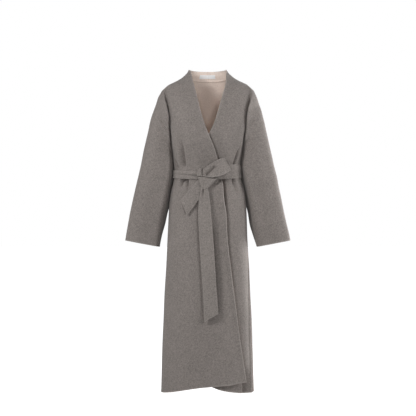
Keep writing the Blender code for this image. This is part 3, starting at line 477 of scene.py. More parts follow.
@dataclass(frozen=True)
class Arm:
    """Half rings of an arm, shared by the shoulder caps and the sleeves so that they meet."""

    figure: Figure
    crease_wrap: float = 44.0
    columns: int = 34
    square: float = 2.4
    square_inside: float = 7.0
    least_full: float = 0.72
    full_wrap: tuple[float, float] = (140.0, 40.0)
    inner_ease: float = 0.10
    depth_ease: float = 0.2
    wrap_ease: float = 0.25
    even_ease: float = 0.5
    size_ease: float = 0.3
    cap_close: float = 1.3
    cap_front: float = 43.0
    cap_back: float = 50.0
    forms: Table = (
        ("share", "outer_y", "front", "back", "wrap", "bow"),
        (0, 9, 74, 72, 96, 17),
        (0.03, 9.3, 74, 71, 136, 15),
        (0.10, 10, 72, 65, 150, 11),
        (0.22, 11, 63, 52, 168, 5),
        (0.40, 10, 60, 42, 180, 0),
        (0.70, 6, 52, 44, 180, 0),
        (1, 2, 39, 40, 180, 0),
    )

    def form(self, name: str, share: np.ndarray) -> np.ndarray:
        """A size of the arm's section at a share of the sleeve's length."""
        return read(self.forms, name, share)

    def arc(
        self, inner: np.ndarray, outer: np.ndarray, turn: np.ndarray, wrap: np.ndarray, bulge: np.ndarray,
        bow: np.ndarray, settled: np.ndarray | float = 0.0,
    ) -> np.ndarray:
        """Half rings: across goes with the cosine of the turn, and the bulge with its sine.

        Away from the inner end the bulge is squared off: a root of what a power of across leaves.
        Where it is settled, the depth reaches the outer end's soon after the inner end.

        Args:
            inner: the arc's end at the body, one point a row.
            outer: its end outside the arm.
            turn: degrees from the outside, one row of columns a row.
            wrap: the turn at the inner end.
            bulge: how far the arc stands forward or back.
            bow: how far it lifts.
            settled: 0 for a straight line of depth between the ends, 1 for one that settles early.

        Returns:
            Grid of points, rows by columns.
        """
        edge = np.cos(np.radians(wrap))
        across = (np.cos(np.radians(turn)) - edge) / (1.0 - edge)
        rise = np.sin(np.radians(turn)) - np.sin(np.radians(wrap)) * (1.0 - across)
        full = self.least_full + (1.0 - self.least_full) * eased(wrap, *self.full_wrap)
        power = np.where(across < 0.5, self.square_inside, self.square)
        square = np.clip(1.0 - np.abs(2.0 * across - 1.0) ** power, 0.0, 1.0) ** (1.0 / power)
        rise = rise + (full * square - rise) * smooth_step(across / self.inner_ease)
        points = inner[:, None] + (outer - inner)[:, None] * across[..., None]
        early = settled * (smooth_step(across / self.depth_ease) - across)
        points[..., 1] += bulge * rise + (outer - inner)[:, 1:2] * early
        points[..., 2] += bow * rise
        return points

    def cap(self, side: Side, share: np.ndarray, behind: bool) -> np.ndarray:
        """Cap over the shoulder, from crease to over-arm line, a row for each share.

        The bulge settles from the seam's to the cap's own, then goes with the root of what is left
        to the ridge, and there the points are even.

        Args:
            side: which shoulder.
            share: shares of the way from armpit to ridge.
            behind: the back half and not the front one.

        Returns:
            Grid of points.
        """
        share = np.asarray(share, dtype=float)[:, None]
        even = np.linspace(0.0, 1.0, self.columns + 1)
        wrap = self.form("wrap", 0.0) + self.crease_wrap * smooth_step(share / self.wrap_ease)
        edge = np.cos(np.radians(wrap))
        level = np.degrees(np.arccos(edge + (1.0 - edge) * even))
        turn = level + (wrap * even[::-1] - level) * smooth_step((1.0 - share) / self.even_ease)
        seam = self.form("back" if behind else "front", 0.0)
        cap = self.cap_back if behind else self.cap_front
        size = seam + (cap - seam) * smooth_step(share / self.size_ease)
        bulge = size * np.minimum(1.0, self.cap_close * np.sqrt(1.0 - share)) * (1.0 if behind else -1.0)
        bow = self.form("bow", 0.0) * (1.0 - share)
        inner = self.figure.crease(side, share[:, 0], behind)
        return self.arc(inner, self.figure.over_arm(side, share[:, 0]), turn, wrap, bulge, bow)


# ---------------------------------------------------------------- folds
@dataclass(frozen=True)
class Fold:
    """One soft ridge, or trough when its height is below 0, along a line down the body."""

    x_top: float
    z_top: float
    x_bottom: float
    z_bottom: float
    height: float
    width: float
    fade_top: float
    fade_bottom: float
    behind: bool = False

    def push(self, figure: Figure, azimuth: np.ndarray, z: np.ndarray) -> np.ndarray:
        """How far it moves the cloth out: height times eased ends times a bell across the line.

        Args:
            figure: the form that the line lies on.
            azimuth: azimuth of each point.
            z: height of each point.

        Returns:
            The push at each point, in millimetres.
        """
        along = (self.z_top - z) / (self.z_top - self.z_bottom)
        level = np.clip(z, self.z_bottom, self.z_top)
        centre_x = self.x_top + (self.x_bottom - self.x_top) * np.clip(along, 0.0, 1.0)
        centre = figure.azimuth_at(centre_x, level, self.behind)
        apart = (azimuth - centre + 180.0) % 360.0 - 180.0
        radius = 0.5 * (figure.half_width(centre_x, level) + figure.depth(not self.behind, level))
        ends = smooth_step(along / self.fade_top) * smooth_step((1.0 - along) / self.fade_bottom)
        return self.height * ends * bell(np.radians(apart) * radius, self.width)


SIDE_FOLDS = (
    Fold(34, -470, 42, -960, -4, 14, 0.3, 0.3),
    Fold(-150, -430, -172, -1247, 3, 20, 0.3, 0.1),
    Fold(157, -600, 172, -1262, 4, 6, 0.3, 0.005),
    Fold(164, -700, 178, -1262, -5, 3.2, 0.2, 0.005),
    Fold(-128, -396, -146, -520, -3, 9, 0.1, 0.7, True),
    Fold(127, -396, 148, -540, -3.5, 10, 0.1, 0.7, True),
)
RIGHT_FRONT_FOLDS = (
    Fold(-107, -205, -93, -352, -17, 9, 0.8, 0.06),
    Fold(-120, -230, -109, -350, 5, 7, 0.6, 0.1),
    Fold(-90, -230, -76, -350, 3.5, 9, 0.7, 0.1),
    Fold(-129, -316, -119, -354, -19, 8, 0.7, 0.1),
    Fold(-101, -388, -106, -440, -24, 6, 0.05, 0.8),
    Fold(-83, -388, -78, -455, -20, 5, 0.05, 0.8),
    Fold(-92, -390, -93, -414, -20, 9, 0.05, 0.6),
    Fold(-99, -476, -85, -548, -6, 4.5, 0.25, 0.2),
    Fold(-112, -392, -124, -500, 4, 8, 0.1, 0.7),
    Fold(-60, -250, -50, -346, 2, 16, 0.6, 0.2),
    Fold(-20, -300, -14, -360, -2.2, 10, 0.6, 0.2),
    Fold(16, -396, 22, -520, -3, 14, 0.1, 0.7),
    Fold(-38, -470, -31, -677, -7, 4.5, 0.3, 0.02),
    Fold(-31, -673, -13.5, -968, -7, 4.5, 0.02, 0.04),
    Fold(16, -560, 36, -930, -8, 5, 0.2, 0.04),
    Fold(32, -390, 34, -424, -24, 8, 0.05, 0.7),
    Fold(46, -390, 48, -420, -24, 8, 0.05, 0.7),
    Fold(-128, -396, -140, -480, 2.5, 9, 0.15, 0.6),
)
LEFT_FRONT_FOLDS = (
    Fold(141, -215, 111, -342, 6, 7, 0.5, 0.1),
    Fold(125, -268, 101.5, -342, -17, 5, 0.5, 0.06),
    Fold(90, -240, 74, -346, 2.2, 15, 0.6, 0.2),
    Fold(59, -384, 71, -575, -64, 6.5, 0.03, 0.7),
    Fold(101, -388, 101, -430, -13, 5, 0.05, 0.8),
    Fold(98, -392, 131, -512, -6.5, 5, 0.08, 0.8),
    Fold(109, -396, 142, -560, 4.5, 9, 0.12, 0.7),
    Fold(86, -396, 96, -520, 3, 9, 0.12, 0.7),
    Fold(128, -396, 148, -470, -2.5, 7, 0.1, 0.7),
)
BACK_FOLDS = (
    Fold(-104, -180, -84, -346, -6.5, 14, 0.6, 0.1, True),
    Fold(-40, -230, -46, -346, -5, 13, 0.7, 0.1, True),
    Fold(8, -250, 6, -346, 4.5, 15, 0.7, 0.1, True),
    Fold(58, -215, 50, -346, -6, 13, 0.7, 0.1, True),
    Fold(112, -190, 90, -346, -6.5, 14, 0.6, 0.1, True),
    Fold(-74, -280, -68, -346, -3, 7, 0.6, 0.1, True),
    Fold(28, -290, 26, -346, -3, 7, 0.6, 0.1, True),
    Fold(-92, -392, -112, -620, -8, 12, 0.1, 0.7, True),
    Fold(-66, -392, -74, -480, -4, 7, 0.1, 0.7, True),
    Fold(-40, -392, -52, -760, -8, 13, 0.1, 0.7, True),
    Fold(-8, -392, -10, -470, -4, 7, 0.1, 0.7, True),
    Fold(18, -392, 22, -560, -6, 11, 0.1, 0.7, True),
    Fold(46, -392, 54, -480, -4, 7, 0.1, 0.7, True),
    Fold(70, -392, 88, -700, -8, 13, 0.1, 0.7, True),
    Fold(104, -392, 120, -500, -4.5, 8, 0.1, 0.7, True),
    Fold(-60, -700, -78, -1250, 6, 30, 0.5, 0.05, True),
    Fold(40, -620, 56, -1250, 6, 32, 0.5, 0.05, True),
)


@dataclass(frozen=True)
class Drape:
    """Slow unevenness of hanging cloth: a few slanting waves through space, the same in every piece."""

    height: float = 0.7
    waves: Table = (
        ("x", "y", "z", "phase"),
        (0.031, 0.017, 0.006, 0.4),
        (-0.022, 0.034, 0.009, 1.7),
        (0.014, -0.028, 0.021, 2.9),
        (0.047, 0.025, -0.012, 4.1),
        (-0.038, -0.019, 0.016, 5.3),
        (0.009, 0.011, 0.034, 0.9),
        (0.061, -0.044, 0.011, 2.2),
    )

    def push(self, points: np.ndarray) -> np.ndarray:
        """Sum of sines of the points along each wave, as a height in millimetres.

        Args:
            points: x, y and z last.

        Returns:
            The push at each point.
        """
        waves = columns_of(self.waves)
        total = np.zeros(points.shape[:-1])
        for x, y, z, phase in zip(waves["x"], waves["y"], waves["z"], waves["phase"]):
            total += np.sin(points @ np.array([x, y, z]) + phase)
        return self.height * total / math.sqrt(len(waves["x"]))


# ---------------------------------------------------------------- finishes
def wire(tree: bpy.types.NodeTree, node: bpy.types.Node, inputs: dict) -> None:
    """Set a node's inputs: each to a value, or linked from a socket.

    Args:
        tree: the node tree.
        node: the node.
        inputs: a value or a socket for each input's name or number.
    """
    for name, value in inputs.items():
        if isinstance(value, Socket):
            tree.links.new(value, node.inputs[name])
        else:
            node.inputs[name].default_value = value


def add_node(tree: bpy.types.NodeTree, kind: str, inputs: dict, **settings: object) -> bpy.types.Node:
    """Add a shader node.

    Args:
        tree: the node tree.
        kind: the node's type, without ShaderNode.
        inputs: a value or a socket for each input's name or number.
        settings: the node's own properties.

    Returns:
        The node.
    """
    node = tree.nodes.new("ShaderNode" + kind)
    for name, value in settings.items():
        setattr(node, name, value)
    wire(tree, node, inputs)
    return node


def start_material(name: str) -> tuple[bpy.types.Material, bpy.types.NodeTree]:
    """A new material and its node tree, which holds a Principled shader.

    Args:
        name: the material's name.

    Returns:
        The material and its tree.
    """
    material = bpy.data.materials.new(name)
    material.use_nodes = True
    return material, material.node_tree


def ramp(tree: bpy.types.NodeTree, value: Socket, dark: tuple, light: tuple) -> Socket:
    """Colour that runs straight from dark where the value is 0 to light where it is 1.

    Args:
        tree: the node tree.
        value: what drives it.
        dark: colour at 0.
        light: colour at 1.

    Returns:
        The colour socket.
    """
    node = add_node(tree, "ValToRGB", {"Fac": value})
    for element, colour in zip(node.color_ramp.elements, (dark, light)):
        element.color = (*colour, 1.0)
    return node.outputs["Color"]


@dataclass(frozen=True)
class FeltedWool:
    """Felted melange wool: fibre flecks, soft mottling, a short nap, a faint pressed edge and a painted
    highlight along free edges.
    """

    name: str
    colour: tuple[float, float, float]
    fleck: float = 0.26
    mottle: float = 0.13
    spread: float = 0.5
    # Painted highlight along free edges: how far the colour goes towards the pale highlight colour at the
    # edge, that colour, and the distances from the edge over which it fades.
    painted_highlight_strength: float = 0.16
    painted_highlight_colour: tuple[float, float, float] = (0.62, 0.57, 0.53)
    painted_highlight_reach: tuple[float, float] = (1.5, 5.0)
    fibre_stretch: float = 0.45
    edge_line: float = 7.5
    groove_depth: float = 0.9
    sheen: float = 0.22
    noises: Table = (
        ("name", "cells a metre", "detail", "roughness"),
        ("fibre", 1150.0, 5.0, 0.72),
        ("tuft", 330.0, 3.0, 0.6),
        ("cloud", 165.0, 3.0, 0.62),
        ("patch", 16.0, 2.0, 0.5),
    )

    def material(self) -> bpy.types.Material:
        """Build the node tree: noises in the piece's own coordinates drive colour and bump.

        Returns:
            The finished material.
        """
        material, tree = start_material(self.name)
        place = add_node(tree, "TexCoord", {}).outputs["Object"]
        stretch = {"Vector": place, "Scale": (1.0, 1.0, self.fibre_stretch)}
        drawn = add_node(tree, "Mapping", stretch).outputs["Vector"]
        noise = {}
        for name, cells, detail, rough in self.noises[1:]:
            inputs = {"Vector": drawn if name == "fibre" else place, "Scale": cells, "Detail": detail}
            noise[name] = add_node(tree, "TexNoise", {**inputs, "Roughness": rough}).outputs["Fac"]
        fleck, mottle = self.fleck, self.mottle
        tones = {"fibre": fleck, "tuft": 0.8 * fleck, "cloud": 1.6 * mottle, "patch": 0.3 * mottle}
        nap = self.blend(tree, noise, {"fibre": 0.16, "tuft": 0.22, "cloud": 0.18})
        dark = tuple(c * (1.0 - self.spread) for c in self.colour)
        light = tuple(min(1.0, c * (1.0 + self.spread)) for c in self.colour)
        melange = ramp(tree, self.blend(tree, noise, tones), dark, light)
        # The distance from the free edge drives the painted highlight in the colour and the sewn-down groove
        # in the bump.
        edge = add_node(tree, "Attribute", {}, attribute_name="edge").outputs["Fac"]
        wire(tree, tree.nodes["Principled BSDF"], {
            "Base Color": self.rim(tree, edge, melange),
            "Normal": self.relief(tree, edge, nap),
            "Roughness": 0.92,
            "Specular IOR Level": 0.18,
            "Sheen Weight": self.sheen,
            "Sheen Roughness": 0.55,
            "Sheen Tint": (1.0, 0.96, 0.93, 1.0),
        })
        return material

    @staticmethod
    def blend(tree: bpy.types.NodeTree, noise: dict[str, Socket], weights: dict[str, float]) -> Socket:
        """Half plus each noise's swing from half, times four of its weight.

        Args:
            tree: the node tree.
            noise: socket of each noise.
            weights: weight of each noise that counts.

        Returns:
            The sum's socket.
        """
        total = 0.5 - 2.0 * sum(weights.values())
        for name, weight in weights.items():
            inputs = {0: noise[name], 1: 4.0 * weight, 2: total}
            total = add_node(tree, "Math", inputs, operation="MULTIPLY_ADD").outputs[0]
        return total

    def rim(self, tree: bpy.types.NodeTree, edge: Socket, colour: Socket) -> Socket:
        """Colour with a painted highlight along a free edge: paler towards the edge, standing in for the
        light that the turned edge catches.

        Args:
            tree: the node tree.
            edge: the distance from the edge.
            colour: the cloth's colour.

        Returns:
            The colour socket to use.
        """
        # How much of the painted highlight: full near the edge, none beyond its reach.
        near = add_node(tree, "MapRange", {
            "Value": edge, "From Min": self.painted_highlight_reach[0], "From Max": self.painted_highlight_reach[1],
            "To Min": self.painted_highlight_strength, "To Max": 0.0,
        }, interpolation_type="SMOOTHSTEP").outputs["Result"]
        inputs = {"Factor": near, "A": colour, "B": (*self.painted_highlight_colour, 1.0)}
        return add_node(tree, "Mix", inputs, data_type="RGBA", blend_type="MIX").outputs["Result"]

    def relief(self, tree: bpy.types.NodeTree, edge: Socket, nap: Socket) -> Socket:
        """Bump of the nap and of the line where the turned edge is sewn down.

        Args:
            tree: the node tree.
            edge: the distance from the edge.
            nap: the nap's height.

        Returns:
            The normal socket to use.
        """
        away = add_node(tree, "Math", {0: edge, 1: self.edge_line}, operation="SUBTRACT").outputs[0]
        square = add_node(tree, "Math", {0: away, 1: away}, operation="MULTIPLY").outputs[0]
        groove = add_node(tree, "MapRange", {
            "Value": square, "From Min": 0.0, "From Max": 3.0, "To Min": -self.groove_depth, "To Max": 0.0,
        }, interpolation_type="SMOOTHSTEP").outputs["Result"]
        height = add_node(tree, "Math", {0: nap, 1: groove}, operation="ADD").outputs[0]
        inputs = {"Strength": 0.55, "Distance": 0.0006, "Height": height}
        return add_node(tree, "Bump", inputs).outputs["Normal"]


@dataclass(frozen=True)
class SatinRibbon:
    """Plain woven ribbon of the bare label: fine crossing ribs and a soft gloss."""

    name: str = "label_satin"
    colour: tuple[float, float, float] = (0.97, 0.98, 0.99)
    rib_shade: float = 0.95

    def material(self) -> bpy.types.Material:
        """Build the node tree: fine waves make the weave's ribs.

        Returns:
            The finished material.
        """
        material, tree = start_material(self.name)
        place = add_node(tree, "TexCoord", {}).outputs["Object"]
        inputs = {"Vector": place, "Scale": 420.0, "Distortion": 0.6}
        rib = add_node(tree, "TexWave", inputs, bands_direction="Z").outputs["Fac"]
        bump = add_node(tree, "Bump", {"Strength": 0.3, "Distance": 0.0001, "Height": rib})
        wire(tree, tree.nodes["Principled BSDF"], {
            "Base Color": ramp(tree, rib, tuple(c * self.rib_shade for c in self.colour), self.colour),
            "Normal": bump.outputs["Normal"],
            "Roughness": 0.45,
            "Sheen Weight": 0.6,
        })
        return material


# ---------------------------------------------------------------- meshes
def cloth_object(
    name: str, points: np.ndarray, faces: list, edge: np.ndarray, materials: tuple[bpy.types.Material, ...]
) -> bpy.types.Object:
    """Object of points and faces, with each point's distance from the free edge as an attribute.

    Args:
        name: the piece's name.
        points: its points, in millimetres.
        faces: its faces, as the points' numbers.
        edge: the distance at each point.
        materials: its finishes.

    Returns:
        The object, in the scene.
    """
    mesh = bpy.data.meshes.new(name)
    mesh.from_pydata((points * MM).tolist(), [], faces)
    mesh.attributes.new("edge", "FLOAT", "POINT").data.foreach_set("value", edge.astype(np.float32))
    mesh.shade_smooth()
    for material in materials:
        mesh.materials.append(material)
    piece = bpy.data.objects.new(name, mesh)
    bpy.context.scene.collection.objects.link(piece)
    return piece


def stand_for(piece: bpy.types.Object, node: str) -> None:
    """Tell the frame which node a piece stands for, in the coat's one body.

    Args:
        piece: the finished object.
        node: the node that it replaces.
    """
    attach(piece, "root")
    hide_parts(node)
    LOG.info("built %s", node)


@dataclass
class Wall:
    """A cloth wall: a grid at the middle of the cloth, given its thickness and rounded edges."""

    node: str
    grid: np.ndarray
    edge: np.ndarray
    thickness: float
    materials: tuple[bpy.types.Material, ...]
    face: Face = Face.AS_MADE
    closed: bool = False
    round_edge: float = 0.8
    round_steps: int = 2
    round_angle: float = 62.0
    thick_edge: float = 0.0
    thick_reach: tuple[float, float] = (5.0, 6.0)

    def around(self, grid: np.ndarray) -> np.ndarray:
        """The grid, with its first column again after the last one where it is closed."""
        return np.concatenate([grid, grid[:, :1]], axis=1) if self.closed else grid

    def quads(self, here: np.ndarray) -> list:
        """Faces between neighbouring points; a missing point leaves a notch.

        Args:
            here: which points there are.

        Returns:
            Faces, as the points' numbers.
        """
        number = np.full(here.shape, -1)
        number[here] = np.arange(here.sum())
        number = self.around(number)
        quads = np.stack([number[:-1, :-1], number[:-1, 1:], number[1:, 1:], number[1:, :-1]], axis=-1)
        quads = quads.reshape(-1, 4)
        quads = quads[quads.min(axis=1) >= 0]
        return (quads[:, ::-1] if self.face is Face.TURNED else quads).tolist()

    def flat_area(self) -> float:
        """Area in square metres: half the cross product of each quad's diagonals.

        Returns:
            The middle surface's area.
        """
        grid = self.around(self.grid)
        first = grid[1:, 1:] - grid[:-1, :-1]
        second = grid[1:, :-1] - grid[:-1, 1:]
        return float(np.nansum(np.linalg.norm(np.cross(first, second), axis=-1)) / 2.0 * MM * MM)

    def build(self, slot: str, cut: tuple[float, float], rests_on: tuple[str, ...] = ()) -> bpy.types.Object:
        """Make the object, its wall and its rounded edges, and tell the frame which node it stands for.

        Args:
            slot: the record's material slot; not used.
            cut: width and length of the flat cut, in metres.
            rests_on: the nodes that carry it; not used.

        Returns:
            The finished object.
        """
        here = ~np.isnan(self.grid[..., 0])
        piece = cloth_object(
            self.node + "_cloth", self.grid[here], self.quads(here), self.edge[here], self.materials
        )
        wall = piece.modifiers.new("wall", "SOLIDIFY")
        wall.thickness = (self.thickness + self.thick_edge) * MM
        wall.offset = 0.0
        wall.use_rim = True
        if self.thick_edge > 0.0:
            self.thicken_edges(piece, wall, self.edge[here])
        if len(self.materials) > 1:
            wall.material_offset = 1
            wall.material_offset_rim = 0
        rounded = piece.modifiers.new("rounded", "BEVEL")
        rounded.width = self.round_edge * MM
        rounded.segments = self.round_steps
        rounded.limit_method = "ANGLE"
        rounded.angle_limit = math.radians(self.round_angle)
        rounded.harden_normals = False
        stand_for(piece, self.node)
        area = min(self.flat_area(), cut[0] * cut[1])
        return piece

    def thicken_edges(self, piece: bpy.types.Object, wall: bpy.types.Modifier, edge: np.ndarray) -> None:
        """Let the wall be thicker where the edge is turned in: full at the edge, eased away behind it.

        Args:
            piece: the object.
            wall: its wall modifier.
            edge: each point's distance from the edge.
        """
        group = piece.vertex_groups.new(name="wall")
        thin = self.thickness / (self.thickness + self.thick_edge)
        start, reach = self.thick_reach
        weight = np.round(1.0 - (1.0 - thin) * smooth_step((edge - start) / reach), 2)
        for level in np.unique(weight):
            group.add(np.nonzero(weight == level)[0].tolist(), float(level), "REPLACE")
        wall.vertex_group = group.name


def soften_crease(
    grid: np.ndarray, column: int, armpit_row: int, reach: int = 16, start: float = 0.42, over: float = 0.36,
    end: float = 0.04, rounds: int = 60, pull: float = 0.7,
) -> np.ndarray:
    """Fill the valley between chest and shoulder cap towards the shoulder's ridge.

    The columns beside the valley are averaged with their neighbours again and again, with a
    weight that fades with the columns' distance and is 0 at the armpit and at the ridge.

    Args:
        grid: the panel.
        column: the valley's column.
        armpit_row: the armpit's row.
        reach: how many columns each way are moved.
        start: the share of the way from armpit to ridge where the softening starts.
        over: the share over which it grows.
        end: the share below the ridge over which it ends.
        rounds: how often the columns are averaged.
        pull: how far each round goes towards the average.

    Returns:
        The softened panel.
    """
    rows = np.arange(grid.shape[0])
    share = (rows - armpit_row) / max(1, CAP_ROWS)
    level = eased(share, start, over) * smooth_step((1.0 - share) / end)
    level = np.where((share > 0.0) & (share < 1.0), level, 0.0)
    apart = np.abs(np.arange(grid.shape[1]) - column) / reach
    weight = level[:, None] * smooth_step(1.5 * (1.0 - apart))
    out = grid.copy()
    for _ in range(rounds):
        mean = 0.5 * (np.roll(out, 1, axis=1) + np.roll(out, -1, axis=1))
        mean = np.where(np.isnan(mean), out, mean)
        out = out + pull * weight[..., None] * (mean - out)
    return out


# ---------------------------------------------------------------- the coat
@dataclass
class CoatPiece:
    """A piece of the coat itself: two-faced wool with turned edges, hung from the shoulders.

    Each kind of piece gives its name, its flat cut in metres and its surface.
    """

    figure: Figure
    arm: Arm
    drape: Drape
    closed: ClassVar[bool] = False
    face: ClassVar[Face] = Face.TURNED
    thick_edge: ClassVar[float] = 0.9

    def folded(self, grid: np.ndarray, folds: tuple[Fold, ...], lift: np.ndarray | float = 0.0) -> np.ndarray:
        """Push the grid outwards by the drape, by the folds and by a further lift.

        Args:
            grid: the unfolded piece.
            folds: its folds.
            lift: the further lift at each point.

        Returns:
            The folded piece.
        """
        azimuth = self.figure.azimuth_of(grid)
        push = self.drape.push(grid)
        for fold in folds:
            push = push + fold.push(self.figure, azimuth, grid[..., 2])
        return grid + (push + lift)[..., None] * self.figure.outward(grid)

    def free_edge(self, grid: np.ndarray) -> np.ndarray:
        """Each point's distance from the piece's first row."""
        return run_length(grid, 0)

    def build(self, outer: bpy.types.Material, inner: bpy.types.Material) -> bpy.types.Object:
        """Make the piece and tell the frame what it is.

        Args:
            outer: finish of the outer face.
            inner: finish of the inner face.

        Returns:
            The finished object.
        """
        grid = self.surface()
        wall = Wall(
            self.name, grid, self.free_edge(grid), self.figure.cloth, (outer, inner), self.face, self.closed,
            thick_edge=self.thick_edge,
        )
        return wall.build("coat_wool", self.cut)


@dataclass
class FrontPanel(CoatPiece):
    """One front with its grown-on collar, its half of the shoulder's cap and its turned edges."""

    side: Side
    folds: tuple[Fold, ...]
    rows_below: int = 124
    rows_above: int = CAP_ROWS
    rows_neck: int = 32
    strip_columns: int = 20
    panel_columns: int = 84
    strip_share: float = 3.0 / 18.0
    row_steps: tuple[float, int] = (0.25, 8)
    neck_first_step: float = 0.2
    fold_rise: float = 1.25
    fold_ease: float = 0.9
    ridge_crowd: float = 0.4
    under_roll: tuple[float, float] = (0.8, 9.0)
    over_roll: tuple[float, float] = (3.0, 15.0)
    skirt_lift: float = 3.6
    skirt_lift_z: tuple[float, float] = (-398.0, -14.0)
    belt_lift: float = 4.0
    belt_lift_z: tuple[float, float] = (-425.0, 85.0)
    lap_inset: float = 4.6
    lap_clear: float = 4.0
    lap_room: tuple[float, float] = (8.0, 44.0)
    hem_inset: float = 12.0
    hem_inset_z: tuple[float, float] = (-1130.0, -70.0)
    lap_groove: float = 7.0
    groove_at: tuple[float, float] = (3.5, 4.5)
    groove_z: tuple[float, float] = (-200.0, -30.0)
    cut: tuple[float, float] = (0.56, 1.34)

    @property
    def name(self) -> str:
        """The node that this front stands for."""
        return "front_right_overlap" if self.side is Side.RIGHT else "front_left_underlap"

    @property
    def face(self) -> Face:
        """The right front's grid runs the other way round."""
        return Face.TURNED if self.side is Side.RIGHT else Face.AS_MADE

    def shares_above(self) -> np.ndarray:
        """Rows from armpit to ridge, closer together towards the ridge."""
        even = np.linspace(0.0, 1.0, self.rows_above + 1)
        return even * (1.0 + self.ridge_crowd * (1.0 - even))

    def across(self) -> np.ndarray:
        """Columns from the free edge over the collar's strip to the side seam.

        Returns:
            Shares from 0 to 1.
        """
        strip = self.strip_share * graded(self.strip_columns)
        panel = 1.0 - (1.0 - self.strip_share) * graded(self.panel_columns)[::-1][1:]
        return np.concatenate([strip, panel])

    def edge_x(self, z: np.ndarray, side: Side | None = None) -> np.ndarray:
        """The free edge's x at height z, of this front or of the side's."""
        return read(self.figure.front_edges, (side or self.side).of("edge"), z)

    def skirt(self) -> np.ndarray:
        """Rows from hem to armpit: even steps of azimuth from the free edge to the side seam.

        Returns:
            Grid of the rows below the armpit.
        """
        figure, across, seam = self.figure, self.across(), self.side.of("seam")
        armpit, bottom = figure.armpit_z, figure.hem_z
        heights = bottom + (armpit - bottom) * graded(self.rows_below, *self.row_steps)[:, None]
        start = figure.azimuth_at(self.edge_x(heights), heights)
        turn = start + (figure.size(seam, heights) - start) * across
        hem = read(figure.front_hems, self.side.of("hem"), figure.point(turn, heights)[:1, :, 0])
        z = armpit + (heights - armpit) * (hem - armpit) / (bottom - armpit)
        start = figure.azimuth_at(self.edge_x(z), z)
        return figure.point(start + (figure.size(seam, z) - start) * across, z)

    def bodice(self, base: np.ndarray) -> np.ndarray:
        """Rows from armpit to shoulder seam, collar strip first, then the panel to the crease.

        Args:
            base: the armpit row.

        Returns:
            Grid of the rows above it.
        """
        figure, side = self.figure, self.side
        share = self.shares_above()[1:, None]
        neck = figure.neck_point(side)
        armpit, strips = figure.armpit_z, self.strip_columns
        fold_z = armpit + (neck[2] - armpit) * (1.0 - (1.0 - share) ** self.fold_rise)
        fold_x = base[strips, 0] + (neck[0] - base[strips, 0]) * smooth_step(share) ** self.fold_ease
        edge_z = armpit + (figure.collar_top_z - armpit) * share
        edge_x = self.edge_x(edge_z)
        strip = graded(strips)
        x = edge_x + (fold_x - edge_x) * strip
        z = edge_z + (fold_z - edge_z) * strip
        collar = figure.point(figure.azimuth_at(x, z), z)
        valley = figure.crease(side, share[:, 0], False)
        place = (base[strips:, 0] - base[strips, 0]) / (base[-1, 0] - base[strips, 0])
        place = place + (np.linspace(0.0, 1.0, len(place)) - place) * share
        x = fold_x + (valley[:, :1] - fold_x) * place
        ridge = figure.ridge_z(side, fold_x)
        fold_fall = (ridge - fold_z) / (ridge - armpit)
        valley_top = figure.ridge_z(side, np.clip(np.abs(valley[:, :1]), 0.0, figure.crease_top_x))
        valley_fall = (valley_top - valley[:, 2:]) / (valley_top - armpit)
        top = figure.ridge_z(side, np.clip(np.abs(x), 0.0, figure.crease_top_x))
        z = top - (top - armpit) * (fold_fall + (valley_fall - fold_fall) * place)
        block = figure.point(np.where(share == 1.0, 90.0 * side.value, figure.azimuth_at(x, z)), z)
        block[:, -1] = valley
        return np.concatenate([collar[:, :-1], block], axis=1)

    def collar_rows(self) -> np.ndarray:
        """Collar stand round the neck, from the shoulder seam to the centre back, a quarter turn."""
        turn = (math.pi / 2 * (1.0 - graded(self.rows_neck, self.neck_first_step)[::-1][1:]))[:, None]
        return collar_stand(self.figure, self.side.value, turn, graded(self.strip_columns))

    def surface(self) -> np.ndarray:
        """The whole front as one grid with notches, folds pressed in.

        Returns:
            Grid of points.
        """
        panel = len(self.across())
        armpit, shoulder = self.rows_below, self.rows_below + self.rows_above
        grid = np.full((shoulder + self.rows_neck + 1, panel + self.arm.columns, 3), np.nan)
        grid[: armpit + 1, :panel] = self.skirt()
        grid[armpit + 1 : shoulder + 1, :panel] = self.bodice(grid[armpit, :panel])
        grid[shoulder + 1 :, : self.strip_columns + 1] = self.collar_rows()
        grid[armpit : shoulder + 1, panel - 1 :] = self.arm.cap(self.side, self.shares_above(), False)
        grid = soften_crease(grid, panel - 1, armpit)
        if self.side is Side.LEFT:
            grid = self.under_lap(grid)
        return self.folded(grid, (*self.folds, *SIDE_FOLDS), self.edge_roll(grid))

    def free_edge(self, grid: np.ndarray) -> np.ndarray:
        """Each point's distance from the front edge or the hem, the nearer one."""
        return np.minimum(run_length(grid, 1), run_length(grid, 0))

    def edge_roll(self, grid: np.ndarray) -> np.ndarray:
        """The free edge lifts a little off what it lies on: a bell of the run from the edge.

        The overlap lifts most just under the belt, and evenly from there to the hem.

        Args:
            grid: the front.

        Returns:
            The lift at each point.
        """
        height, width = self.under_roll if self.side is Side.LEFT else self.over_roll
        if self.side is Side.RIGHT:
            z = grid[..., 2]
            more = self.skirt_lift + self.belt_lift * bell_at(z, self.belt_lift_z)
            height = height + eased(z, *self.skirt_lift_z) * more
        return height * bell(run_length(grid, 1), width)

    def under_lap(self, grid: np.ndarray) -> np.ndarray:
        """Sink the left front under the right one, and ease it out beyond the right front's edge.

        It sinks more near the hem, and a narrow groove follows the right front's edge.

        Args:
            grid: the left front.

        Returns:
            The left front, sunk.
        """
        x, z = grid[..., 0], grid[..., 2]
        beyond = x - self.edge_x(z, Side.RIGHT)
        seam_x = self.figure.point(self.figure.size("seam_left", z), z)[..., 0]
        margin, widest = self.lap_room
        room = np.clip(seam_x - (x - beyond) - margin, margin, widest)
        sink = self.lap_inset + self.hem_inset * eased(z, *self.hem_inset_z)
        sink = sink * (1.0 - eased(beyond, self.lap_clear, room))
        sink = sink + self.lap_groove * bell_at(beyond, self.groove_at) * eased(z, *self.groove_z)
        return grid - sink[..., None] * self.figure.outward(grid)


